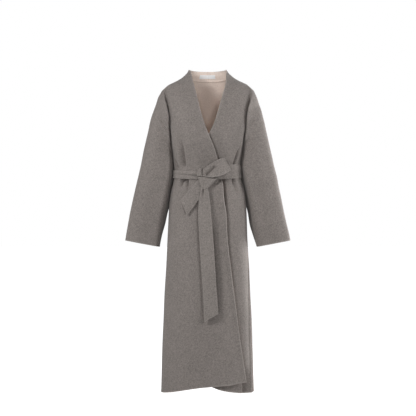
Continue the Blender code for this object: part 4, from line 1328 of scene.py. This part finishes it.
def collar_stand(figure: Figure, side: int, turn: np.ndarray, strip: np.ndarray) -> np.ndarray:
    """Points of the collar stand from its top edge (strip 0) to the back-neck seam (1).

    Both lines are quarter ellipses round the neck; the stand between them bows in by half a sine,
    with a ridge along the back-neck seam and a shallow seam down the centre back.

    Args:
        figure: the form.
        side: -1 or 1.
        turn: radians from the shoulder seam to the centre back, one a row.
        strip: shares across the stand.

    Returns:
        Grid of points.
    """
    top_half = float(figure.half_width(side, figure.collar_top_z))
    top_y = float(figure.size("middle", figure.collar_top_z))
    top = np.concatenate([
        side * top_half * np.cos(turn),
        top_y + (figure.collar_top_back_y - top_y) * np.sin(turn),
        figure.collar_top_z - figure.collar_top_drop * np.sin(turn),
    ], axis=1)
    low_x = side * float(figure.half_width(side, figure.neck_point_z)) * np.cos(turn[:, 0])
    low_z = figure.back_top_z(low_x)
    low = figure.point(figure.azimuth_at(low_x, low_z, True), low_z)
    points = top[:, None] + (low - top)[:, None] * strip[:, None]
    seam = CENTRE_SEAM[0] * bell((math.pi / 2 - turn) * top_half, CENTRE_SEAM[1])
    lean = STAND_BOW * np.sin(math.pi * strip) + STAND_RIDGE * bell_at(strip, STAND_RIDGE_AT) - seam
    points[..., 0] -= side * lean * np.cos(turn)
    points[..., 1] -= lean * np.sin(turn)
    return points


@dataclass
class BackPanel(CoatPiece):
    """The back in one piece, with the rear halves of both shoulder caps."""

    front: FrontPanel
    half_columns: int = 80
    neck_columns: int = 34
    beside_neck: tuple[float, float] = (0.75, 0.5)
    beside_rise: float = 0.5
    hem_middle: float = -1234.0
    hem_side: tuple[float, float] = (-1247.0, -1244.0)
    name: str = "back"
    cut: tuple[float, float] = (0.62, 1.27)

    def half(self, side: Side) -> np.ndarray:
        """One half from the centre back to the side seam and crease.

        Args:
            side: which half.

        Returns:
            Grid from hem to the top edge, centre back first.
        """
        figure, armpit, bottom = self.figure, self.figure.armpit_z, self.figure.hem_z
        across = 1.0 - graded(self.half_columns)[::-1]
        heights = bottom + (armpit - bottom) * graded(self.front.rows_below, *self.front.row_steps)[:, None]
        seam = np.abs(figure.size(side.of("seam"), heights))
        hem = self.hem_middle + (self.hem_side[side is Side.LEFT] - self.hem_middle) * across**2
        z = armpit + (heights - armpit) * (hem - armpit) / (bottom - armpit)
        below = figure.point(side.value * (180.0 + (seam - 180.0) * across), z)
        share = self.front.shares_above()[1:, None]
        valley = figure.crease(side, share[:, 0], True)
        neck_x = figure.neck_point(side)[0]
        neck = neck_x * np.sin(np.linspace(0.0, math.pi / 2, self.neck_columns + 1))
        beyond_columns = self.half_columns - self.neck_columns
        beyond = np.linspace(neck_x, side.value * figure.crease_top_x, beyond_columns + 1)
        top_x = np.concatenate([neck, beyond[1:]])
        x = below[-1, :, 0] + (top_x - below[-1, :, 0]) * smooth_step(share)
        x = x + (valley[:, :1] - x[:, -1:]) * across
        beside = eased(np.abs(top_x) / abs(neck_x), *self.beside_neck)
        top = figure.back_top_z(x)
        z = top - (top - armpit) * (1.0 - share) ** (1.0 + self.beside_rise * beside)
        on_ridge = (share == 1.0) & (np.abs(x) >= abs(neck_x) - 0.001)
        turn = np.where(on_ridge, 90.0 * side.value, figure.azimuth_at(x, z, True))
        above = figure.point(turn, z)
        above[:, -1] = valley
        return np.concatenate([below, above])

    def surface(self) -> np.ndarray:
        """Both halves and both caps as one grid, folds pressed in.

        Returns:
            Grid of points.
        """
        caps, half, armpit = self.arm.columns, self.half_columns, self.front.rows_below
        shares = self.front.shares_above()
        grid = np.full((armpit + len(shares), 2 * (half + caps) + 1, 3), np.nan)
        grid[:, caps : caps + half + 1] = self.half(Side.RIGHT)[:, ::-1]
        grid[:, caps + half : caps + 2 * half + 1] = self.half(Side.LEFT)
        grid[armpit:, : caps + 1] = self.arm.cap(Side.RIGHT, shares, True)[:, ::-1]
        grid[armpit:, caps + 2 * half :] = self.arm.cap(Side.LEFT, shares, True)
        grid = soften_crease(soften_crease(grid, caps, armpit), caps + 2 * half, armpit)
        return self.folded(grid, (*BACK_FOLDS, *SIDE_FOLDS))


@dataclass
class Sleeve(CoatPiece):
    """One wide dropped sleeve: closed rings from the slanting armhole seam to the cuff."""

    side: Side
    rows: int = 120
    row_steps: tuple[float, int] = (0.3, 8)
    cuff_outer_z: float = -642.0
    cuff_inner_z: float = -667.0
    armpit_blend: float = 0.12
    settle: float = 0.1
    wrinkle_lean: float = 0.05
    closed: ClassVar[bool] = True
    cut: tuple[float, float] = (0.36, 0.56)
    wrinkles: Table = (
        ("share", "azimuth", "height", "length", "width"),
        (0.16, 150, -4, 0.06, 34),
        (0.30, 205, -4.5, 0.07, 40),
        (0.36, 150, -2, 0.035, 30),
        (0.46, 160, -3.5, 0.08, 30),
        (0.55, 250, -4, 0.08, 36),
        (0.41, 240, 2.5, 0.05, 40),
        (0.66, 215, -2.5, 0.06, 34),
    )

    @property
    def name(self) -> str:
        """The node that this sleeve stands for."""
        return self.side.of("sleeve")

    @property
    def face(self) -> Face:
        """The right sleeve's grid runs the other way round."""
        return Face.TURNED if self.side is Side.RIGHT else Face.AS_MADE

    def surface(self) -> np.ndarray:
        """Rings: each is a front and a back arc between the arm's outer and inner line.

        Returns:
            Grid of points.
        """
        figure, arm, side = self.figure, self.arm, self.side
        share = (1.0 - graded(self.rows, *self.row_steps))[::-1]
        armpit = figure.crease(side, np.array([0.0]), False)[0]
        top_z = figure.over_arm(side, np.array([0.0]))[0, 2]
        outer_z = top_z + (self.cuff_outer_z - top_z) * share
        inner_z = armpit[2] + (self.cuff_inner_z - armpit[2]) * share
        outer_x = side.value * (figure.arm(side.of("outer"), outer_z) - figure.cloth / 2)
        inner_x = side.value * (figure.arm(side.of("inner"), inner_z) + figure.cloth / 2)
        outer = np.stack([outer_x, arm.form("outer_y", share), outer_z], axis=-1)
        inner = np.stack([inner_x, figure.arm("inner_y", inner_z), inner_z], axis=-1)
        inner = armpit + (inner - armpit) * smooth_step(share / self.armpit_blend)[:, None]
        inner[:, 2] = inner_z
        even = np.linspace(0.0, 1.0, arm.columns + 1)
        wrap, bow, fore, aft = (arm.form(name, share)[:, None] for name in ("wrap", "bow", "front", "back"))
        settled = smooth_step(share / self.settle)[:, None]
        front = arm.arc(inner, outer, wrap * even, wrap, -fore, bow, settled)
        rear = arm.arc(inner, outer, wrap * even, wrap, aft, bow)
        grid = np.concatenate([front, rear[:, -2:0:-1]], axis=1)
        turn = np.concatenate([180.0 * even, 360.0 - 180.0 * even[-2:0:-1]])
        return self.wrinkled(grid, share[:, None], turn)

    def wrinkled(self, grid: np.ndarray, share: np.ndarray, turn: np.ndarray) -> np.ndarray:
        """Press soft slanting wrinkles in: a bell along the arm times a bell round it.

        Args:
            grid: the smooth sleeve.
            share: how far each row is along it.
            turn: degrees of each column round it.

        Returns:
            The wrinkled sleeve.
        """
        away = grid - grid.mean(axis=1, keepdims=True)
        away /= np.linalg.norm(away, axis=-1, keepdims=True)
        push = self.drape.push(grid) * smooth_step(share / self.settle)
        for at, azimuth, height, length, width in self.wrinkles[1:]:
            lean = share - at + self.wrinkle_lean * np.sin(np.radians(turn - azimuth))
            push = push + height * bell(lean, length) * bell(turn - azimuth, width)
        return grid + push[..., None] * away

    def free_edge(self, grid: np.ndarray) -> np.ndarray:
        """Each point's distance from the cuff, which is the last row."""
        return run_length(grid[::-1], 0)[::-1]


# ---------------------------------------------------------------- the belt
def pressed(x: np.ndarray, z: np.ndarray, lines: Table) -> np.ndarray:
    """How deep short creases press in: for each line, depth times a bell of the distance to it.

    Args:
        x: across the front.
        z: height.
        lines: x0, z0, x1, z1, depth and width of each, below the row of names.

    Returns:
        The summed depth at each point.
    """
    total = np.zeros(np.broadcast(x, z).shape)
    for x0, z0, x1, z1, depth, width in lines[1:]:
        along = ((x - x0) * (x1 - x0) + (z - z0) * (z1 - z0)) / ((x1 - x0) ** 2 + (z1 - z0) ** 2)
        along = np.clip(along, 0.0, 1.0)
        away = np.hypot(x - x0 - along * (x1 - x0), z - z0 - along * (z1 - z0))
        total += depth * bell(away, width)
    return total


@dataclass
class BeltPiece:
    """A piece of the doubled belt: a strip with rounder edges than the coat's.

    Each kind of piece gives its name, its flat cut in metres, its surface and what it rests on.
    """

    figure: Figure
    cloth: ClassVar[float] = 3.2

    def free_edge(self, grid: np.ndarray) -> np.ndarray:
        """Each point's distance from the nearer long edge."""
        run = run_length(grid, 1)
        return np.minimum(run, run[:, -1:] - run)

    def build(self, wool: bpy.types.Material) -> bpy.types.Object:
        """Make the piece and tell the frame what it is.

        Args:
            wool: its finish.

        Returns:
            The finished object.
        """
        grid = self.surface()
        wall = Wall(self.name, grid, self.free_edge(grid), self.cloth, (wool,), round_edge=1.3, round_steps=3)
        return wall.build("belt_wool", self.cut, (self.rests_on,))


@dataclass
class BeltBand(BeltPiece):
    """The doubled belt round the waist, drawn together into soft lengthwise rolls."""

    columns: int = 30
    turns: int = 420
    stand: float = 1.4
    upper_at: tuple[float, float] = (0.27, 0.2)
    lower_at: tuple[float, float] = (0.75, 0.2)
    groove_at: tuple[float, float] = (0.54, 0.055)
    sway: float = 0.05
    sway_wave: tuple[float, float] = (2.3, 0.7)
    ripple: float = 0.5
    ripple_wave: tuple[float, float] = (11.0, 5.0)
    name: str = "belt_band"
    rests_on: str = "back"
    cut: tuple[float, float] = (0.054, 0.76)
    path: Table = (
        ("azimuth", "top", "bottom", "upper", "groove", "lower"),
        (-358, -345, -398, 0.6, 0, 0.6),
        (-330, -341, -397, 1, 0, 0.8),
        (-300, -339, -393, 1.6, 0.3, 1.2),
        (-268, -343, -390, 2.4, 0.8, 1.8),
        (-220, -346, -396, 2.4, 1.2, 2.8),
        (-180, -349, -398, 3, 1.6, 2.6),
        (-135, -353, -396, 2.6, 1.4, 2.4),
        (-90, -361, -392, 1.6, 0.2, 1.6),
        (-62, -363, -394, 2.4, 0.4, 2.4),
        (-42, -365, -396, 4, 3, 3.6),
        (-28, -367, -397, 4.4, 5, 4),
        (-7, -369, -399, 4, 5, 3.6),
    )

    def surface(self) -> np.ndarray:
        """Strip round the waist: two wide rolls and the narrow groove between them, all bells.

        Returns:
            Grid of points.
        """
        turn = np.linspace(self.path[1][0], self.path[-1][0], self.turns + 1)
        value = swept(self.path, turn)
        turn = np.radians(turn)[:, None]
        across = np.linspace(0.0, 1.0, self.columns + 1)
        place = across - self.sway * np.sin(turn * self.sway_wave[0] + self.sway_wave[1])
        upper = value["upper"] * bell_at(place, self.upper_at)
        lower = value["lower"] * bell_at(place, self.lower_at)
        groove = value["groove"] * bell_at(place, self.groove_at)
        wave = turn * self.ripple_wave[0] + self.ripple_wave[1] * across
        ripple = self.ripple * np.sin(wave) * np.sin(math.pi * across)
        z = value["top"] + (value["bottom"] - value["top"]) * across
        out = self.figure.cloth / 2 + self.cloth / 2 + self.stand + upper + lower - groove + ripple
        return self.figure.point(value["azimuth"], z, out)


@dataclass
class BeltEnd(BeltPiece):
    """A hanging belt end between its two edges, standing off the coat's face."""

    name: str
    cut: tuple[float, float]
    crease: tuple[float, float, float, float]
    rows: Table
    columns: int = 22
    count: int = 150
    belly: float = 0.9
    sway: float = 0.4
    sway_wave: tuple[float, float] = (9.0, 2.0)
    rests_on: str = "belt_knot"

    def surface(self) -> np.ndarray:
        """Between the left and the right edge, lifted by their stands, with one soft lengthwise crease.

        Returns:
            Grid of points.
        """
        share = np.linspace(0.0, 1.0, self.count + 1)
        value = swept(self.rows, (len(self.rows) - 2) * share, by_row=True)
        across, share = np.linspace(0.0, 1.0, self.columns + 1), share[:, None]
        x = value["left_x"] + (value["right_x"] - value["left_x"]) * across
        z = value["left_z"] + (value["right_z"] - value["left_z"]) * across
        stand = value["stand_left"] + (value["stand_right"] - value["stand_left"]) * across
        place, depth, width, reach = self.crease
        stand = stand + depth * bell_at(across, (place, width)) * (1.0 - smooth_step(share / reach))
        wave = self.sway_wave[0] * share + self.sway_wave[1] * across
        stand = stand + self.belly * np.sin(math.pi * across) + self.sway * np.sin(wave)
        return self.figure.stand_off(x, z, stand)

    def free_edge(self, grid: np.ndarray) -> np.ndarray:
        """Each point's distance from the nearer long edge or the cut end."""
        return np.minimum(super().free_edge(grid), run_length(grid[::-1], 0)[::-1])


@dataclass
class BowLoop(BeltPiece):
    """The bow's one loop: out from the knot, round the fold and back behind.

    Its spans are the shares and the rows of the front layer, the fold and the rear layer.
    """

    columns: int = 26
    spans: Table = ((0.0, 0.42, 40), (0.43, 0.57, 30), (0.58, 1.0, 34))
    lean: float = 23.0
    belly: float = 2.5
    belly_at: tuple[float, float] = (0.34, 0.09)
    lower_lip: float = 6.0
    lower_lip_at: tuple[float, float] = (1.0, 0.11)
    front_ends: tuple[float, float] = (0.5, -0.12)
    name: str = "belt_loop"
    rests_on: str = "belt_knot"
    cut: tuple[float, float] = (0.054, 0.17)
    creases: Table = (
        ("x0", "z0", "x1", "z1", "depth", "width"),
        (22, -354, 1, -378, 13, 7),
        (1, -378, -5, -385, 11, 3),
        (-10, -357, -8, -380, 2.5, 2.5),
    )
    path: Table = (
        ("share", "x", "top", "bottom", "stand"),
        (0, -17, -360, -385, 20),
        (0.08, -9, -353, -388, 24),
        (0.18, 6, -341, -391, 27),
        (0.28, 21, -330, -388, 27),
        (0.38, 38, -320, -378, 24),
        (0.46, 54, -314, -366, 19),
        (0.50, 61, -315, -362, 12),
        (0.54, 56, -319, -367, 8.6),
        (0.70, 30, -334, -380, 6.9),
        (1, 6, -348, -386, 6.9),
    )

    def surface(self) -> np.ndarray:
        """A strip whose two layers meet in a round fold; the front one is creased towards the knot.

        Returns:
            Grid of points.
        """
        fine = np.concatenate([np.linspace(*span) for span in self.spans])
        across = np.linspace(0.0, 1.0, self.columns + 1)
        value = swept(self.path, fine)
        share = value["share"]
        z = value["top"] + (value["bottom"] - value["top"]) * across
        x = value["x"] + self.lean * smooth_step(1.0 - np.abs(share - 0.5) / 0.5) * across
        front = eased(share, *self.front_ends)
        stand = value["stand"] - front * pressed(x, z, self.creases)
        stand = stand + self.belly * front * bell_at(share, self.belly_at) * np.sin(math.pi * across)
        stand = stand + self.lower_lip * front * bell_at(across, self.lower_lip_at)
        return self.figure.stand_off(x, z, stand)


@dataclass
class Knot:
    """The tied knot: belt cloth wrapped over itself, opening below into a funnel."""

    figure: Figure
    name: str = "belt_knot"
    around: int = 96
    along: int = 90
    waist: float = 0.35
    roundness: float = 0.8
    front_ease: float = 0.5
    fan: float = 0.7
    fan_wave: tuple[float, float] = (5.0, 3.0)
    fan_from: tuple[float, float] = (0.45, 0.4)
    no_edge: float = 50.0
    creases: Table = (
        ("x0", "z0", "x1", "z1", "depth", "width"),
        (-19, -356, -18, -382, 7, 2.6),
        (-38, -389.5, -7, -388, 8, 2.3),
        (-7, -388, 22, -393, 10, 2.5),
        (-29, -398, -19, -431, 2.2, 2.6),
        (-10, -404, -14, -430, 1.6, 3),
        (6, -400, -6, -420, 1.4, 3),
        (-31, -362, -30, -378, 2, 2.4),
    )
    rings: Table = (
        ("z", "left", "right", "low", "high"),
        (-354, -30, -20, 9, 17),
        (-362, -36, -17, 8.4, 23),
        (-372, -39, -15, 8, 26),
        (-381, -39.5, -12, 7.8, 28),
        (-388, -38, 6, 7.6, 28),
        (-393, -36, 31, 7.4, 26),
        (-397, -34.5, 34, 9, 25),
        (-405, -32, 26, 11, 25),
        (-417, -28, 15, 12, 24),
        (-428, -24, 5, 13, 22),
        (-437, -21.5, -2, 13.5, 20),
    )

    def surface(self) -> np.ndarray:
        """Closed level rings, flat towards the coat and rounded in front, with drawn folds.

        Returns:
            Grid of points, from the top ring to the bottom one.
        """
        share = np.linspace(0.0, 1.0, self.along + 1)
        value = swept(self.rings, (len(self.rings) - 2) * share, by_row=True)
        share = share[:, None]
        turn = np.linspace(0.0, 2.0 * math.pi, self.around + 1)[:-1]
        half = (value["right"] - value["left"]) / 2
        x = (value["left"] + value["right"]) / 2 + half * np.cos(turn)
        z = value["z"] + 0.0 * x
        rise = np.sin(turn)
        edge = value["low"] + self.waist * (value["high"] - value["low"])
        reach = np.where(rise > 0.0, value["high"] - edge, value["low"] - edge)
        stand = edge + reach * np.abs(rise) ** self.roundness
        wave = turn * self.fan_wave[0] + self.fan_wave[1] * share
        fan = self.fan * np.sin(wave) * eased(share, *self.fan_from)
        stand = stand + smooth_step(rise / self.front_ease) * (fan - pressed(x, z, self.creases))
        return self.figure.stand_off(x, z, stand)

    def build(self, wool: bpy.types.Material) -> bpy.types.Object:
        """Make the knot, its two ends filled, and tell the frame what it is.

        Args:
            wool: its finish.

        Returns:
            The finished object.
        """
        grid = self.surface()
        rows, columns = grid.shape[:2]
        number = np.arange(rows * columns).reshape(rows, columns)
        after = np.roll(number, -1, axis=1)
        quads = np.stack([number[:-1], after[:-1], after[1:], number[1:]], axis=-1).reshape(-1, 4)
        faces = quads.tolist() + [number[0, ::-1].tolist(), number[-1].tolist()]
        edge = np.full(rows * columns, self.no_edge)
        piece = cloth_object(self.name + "_cloth", grid.reshape(-1, 3), faces, edge, (wool,))
        stand_for(piece, self.name)
        return piece


@dataclass
class NeckLabel:
    """The bare woven label inside the collar stand."""

    figure: Figure
    name: str = "neck_label"
    thickness: float = 0.6
    gap: float = 0.5
    level: float = 20.0
    turns: tuple[float, float] = (-22.0, 25.0)
    strip: tuple[float, float] = (0.30, 0.64)
    cut: tuple[float, float] = (0.015, 0.066)

    def surface(self) -> np.ndarray:
        """A strip along the stand, set inwards by the cloth's and its own half thickness.

        Returns:
            Grid of points.
        """
        turns = np.radians(np.linspace(*self.turns, 49))
        strip = np.linspace(*self.strip, 15)
        left, right = (
            collar_stand(self.figure, side, (math.pi / 2 - np.abs(turns))[:, None], strip) for side in (1, -1)
        )
        grid = np.where((turns <= 0.0)[:, None, None], left, right)
        inward = np.array([0.0, float(self.figure.size("middle", self.level)), 0.0]) - grid
        inward[..., 2] = 0.0
        inward /= np.linalg.norm(inward, axis=-1, keepdims=True)
        return grid + inward * (self.figure.cloth / 2 + self.thickness / 2 + self.gap)

    def build(self, ribbon: bpy.types.Material) -> bpy.types.Object:
        """Make the label and tell the frame what it is.

        Args:
            ribbon: its finish.

        Returns:
            The finished object.
        """
        grid = self.surface()
        wall = Wall(self.name, grid, run_length(grid, 1), self.thickness, (ribbon,), round_edge=0.2)
        return wall.build("label_white", self.cut, ("front_left_underlap",))


# ---------------------------------------------------------------- studio
@dataclass(frozen=True)
class Studio:
    """White sweep, soft boxes round the coat and the level camera."""

    camera_at: tuple[float, float, float] = (0.001, -8.0, -0.512)
    frame_width: float = 1.664
    sensor: float = 36.0
    floor_z: float = -1.2535
    floor_half: float = 30.0
    light_from_below: float = 0.36
    light_from_above: float = 0.06
    boxes: Table = (
        ("name", "azimuth", "height", "away", "width", "tall", "watts"),
        ("key_left", -37, 1.6, 3.2, 0.9, 0.9, 52),
        ("key_right", 44, 1.5, 3.2, 1.4, 1.2, 22),
        ("front_high", 0, 2.4, 3.0, 1.5, 1.0, 5),
        ("front_low", 2, -0.4, 4.5, 0.6, 0.6, 28),
        ("side_right", 85, 0.4, 3.0, 0.9, 1.6, 36),
        ("side_left", -85, 0.6, 3.0, 0.9, 1.6, 17),
        ("strip_right", 122, -0.5, 2.2, 0.5, 2.0, 54),
    )

    def camera(self) -> None:
        """Level camera that looks along +Y, its lens chosen for the frame's width at the coat."""
        data = bpy.data.cameras.new("camera")
        data.sensor_width = self.sensor
        data.lens = self.sensor * abs(self.camera_at[1]) / self.frame_width
        data.clip_end = 60.0
        camera = bpy.data.objects.new("camera", data)
        camera.location = self.camera_at
        camera.rotation_euler = (math.pi / 2, 0.0, 0.0)
        bpy.context.scene.collection.objects.link(camera)
        bpy.context.scene.camera = camera

    def floor(self) -> None:
        """A wide white floor just under the hem, bright enough to read as a white sweep."""
        half = self.floor_half
        corners = ((-half, -half), (half, -half), (half, half), (-half, half))
        mesh = bpy.data.meshes.new("floor")
        mesh.from_pydata([(x, y, self.floor_z) for x, y in corners], [], [(0, 1, 2, 3)])
        floor = bpy.data.objects.new("floor", mesh)
        material, tree = start_material("white_floor")
        wire(tree, tree.nodes["Principled BSDF"], {
            "Base Color": (0.9, 0.9, 0.9, 1.0),
            "Roughness": 1.0,
            "Emission Color": (1.0, 1.0, 1.0, 1.0),
            "Emission Strength": 1.0,
        })
        mesh.materials.append(material)
        floor.visible_diffuse = False
        floor.visible_glossy = False
        floor.visible_shadow = False
        bpy.context.scene.collection.objects.link(floor)

    def box(
        self, name: str, azimuth: float, height: float, away: float, width: float, tall: float, watts: float
    ) -> None:
        """A soft box that looks at the coat's middle.

        Args:
            name: its name.
            azimuth: degrees round the coat, 0 in front.
            height: metres above the coat's middle.
            away: metres from the coat.
            width: its width in metres.
            tall: its height in metres.
            watts: its power.
        """
        data = bpy.data.lights.new(name, "AREA")
        data.shape = "RECTANGLE"
        data.size, data.size_y = width, tall
        data.energy = watts
        light = bpy.data.objects.new(name, data)
        turn = math.radians(azimuth)
        x, y = away * math.sin(turn), -away * math.cos(turn)
        light.location = (x, y, self.camera_at[2] + height)
        light.rotation_euler = (math.atan2(math.hypot(x, y), height), 0.0, math.atan2(y, x) + math.pi / 2)
        bpy.context.scene.collection.objects.link(light)

    def world(self) -> None:
        """White surroundings to the eye; what lights the coat is dim, and brighter from the floor's side."""
        world = bpy.data.worlds.new("white_sweep")
        world.use_nodes = True
        tree = world.node_tree
        way = add_node(tree, "TexCoord", {}).outputs["Generated"]
        level = add_node(tree, "SeparateXYZ", {"Vector": way}).outputs["Z"]
        strength = add_node(tree, "MapRange", {
            "Value": level, "From Min": -1.0, "From Max": 1.0,
            "To Min": self.light_from_below, "To Max": self.light_from_above,
        }).outputs["Result"]
        white = {"Color": (1.0, 1.0, 1.0, 1.0)}
        seen = tree.nodes["Background"]
        wire(tree, seen, {**white, "Strength": 1.0})
        lit = add_node(tree, "Background", {**white, "Strength": strength})
        ray = add_node(tree, "LightPath", {}).outputs["Is Camera Ray"]
        shades = {"Fac": ray, 1: lit.outputs["Background"], 2: seen.outputs["Background"]}
        mix = add_node(tree, "MixShader", shades)
        wire(tree, tree.nodes["World Output"], {"Surface": mix.outputs["Shader"]})
        bpy.context.scene.world = world

    def build(self) -> None:
        """Camera, floor, surroundings and soft boxes, and a plain view of the colours."""
        self.camera()
        self.floor()
        self.world()
        for row in self.boxes[1:]:
            self.box(*row)
        bpy.context.scene.view_settings.view_transform = "Standard"
        bpy.context.scene.view_settings.look = "None"


def belt_ends(figure: Figure) -> tuple[BeltEnd, BeltEnd]:
    """The short end that points down to the wearer's right, and the long end that hangs in front.

    Args:
        figure: the form that they hang on.

    Returns:
        Both ends, the short one first.
    """
    names = ("left_x", "left_z", "right_x", "right_z", "stand_left", "stand_right")
    short = BeltEnd(
        figure, "belt_end_short", (0.056, 0.165), (0.5, -0.8, 0.25, 0.9),
        (
            names,
            (-33, -398, -14, -412, 10, 6.5),
            (-45, -412, -18, -440, 14, 7),
            (-63, -436, -27, -468, 18, 9),
            (-80, -460, -46, -498, 21, 11),
            (-94, -480, -76, -540, 24, 14),
        ),
        count=60,
    )
    long = BeltEnd(
        figure, "belt_end_long", (0.056, 0.56), (0.36, -12, 0.10, 0.42),
        (
            names,
            (-24, -424, -3, -424, 17, 17),
            (-27, -450, 3, -446, 14, 16),
            (-33, -483, 8, -483, 12, 20),
            (-35, -557, 14, -557, 11, 23),
            (-28, -677, 21.5, -677, 10, 26),
            (-18, -835, 31, -835, 12, 28),
            (-15, -890, 34, -878, 15, 28),
            (-12, -960, 37, -928, 20, 28),
        ),
    )
    return short, long


def main() -> None:
    """Build the coat piece by piece, then the studio."""
    logging.basicConfig(level=logging.INFO)
    figure = Figure()
    shared = (figure, Arm(figure), Drape())
    # Painted highlights along free edges: stronger on the outer wool than the inner face's default, faintest
    # on the belt.
    outer = FeltedWool("coat_wool_outer", (0.236, 0.210, 0.195), painted_highlight_strength=0.20).material()
    # The inner face is a paler, warmer wool, made paler still as painted light that stands in for the light
    # reaching inside the neck.
    inner = FeltedWool("coat_wool_inner", (0.92, 0.765, 0.685), spread=0.15).material()
    belt = FeltedWool("belt_wool_pressed", (0.246, 0.220, 0.204), painted_highlight_strength=0.07).material()
    right = FrontPanel(*shared, Side.RIGHT, RIGHT_FRONT_FOLDS)
    left = FrontPanel(*shared, Side.LEFT, LEFT_FRONT_FOLDS)
    for part in (right, left, BackPanel(*shared, right), *(Sleeve(*shared, side) for side in Side)):
        part.build(outer, inner)
    for part in (BeltBand(figure), BowLoop(figure), Knot(figure), *belt_ends(figure)):
        part.build(belt)
    NeckLabel(figure).build(SatinRibbon().material())
    Studio().build()


if __name__ == "__main__":
    main()
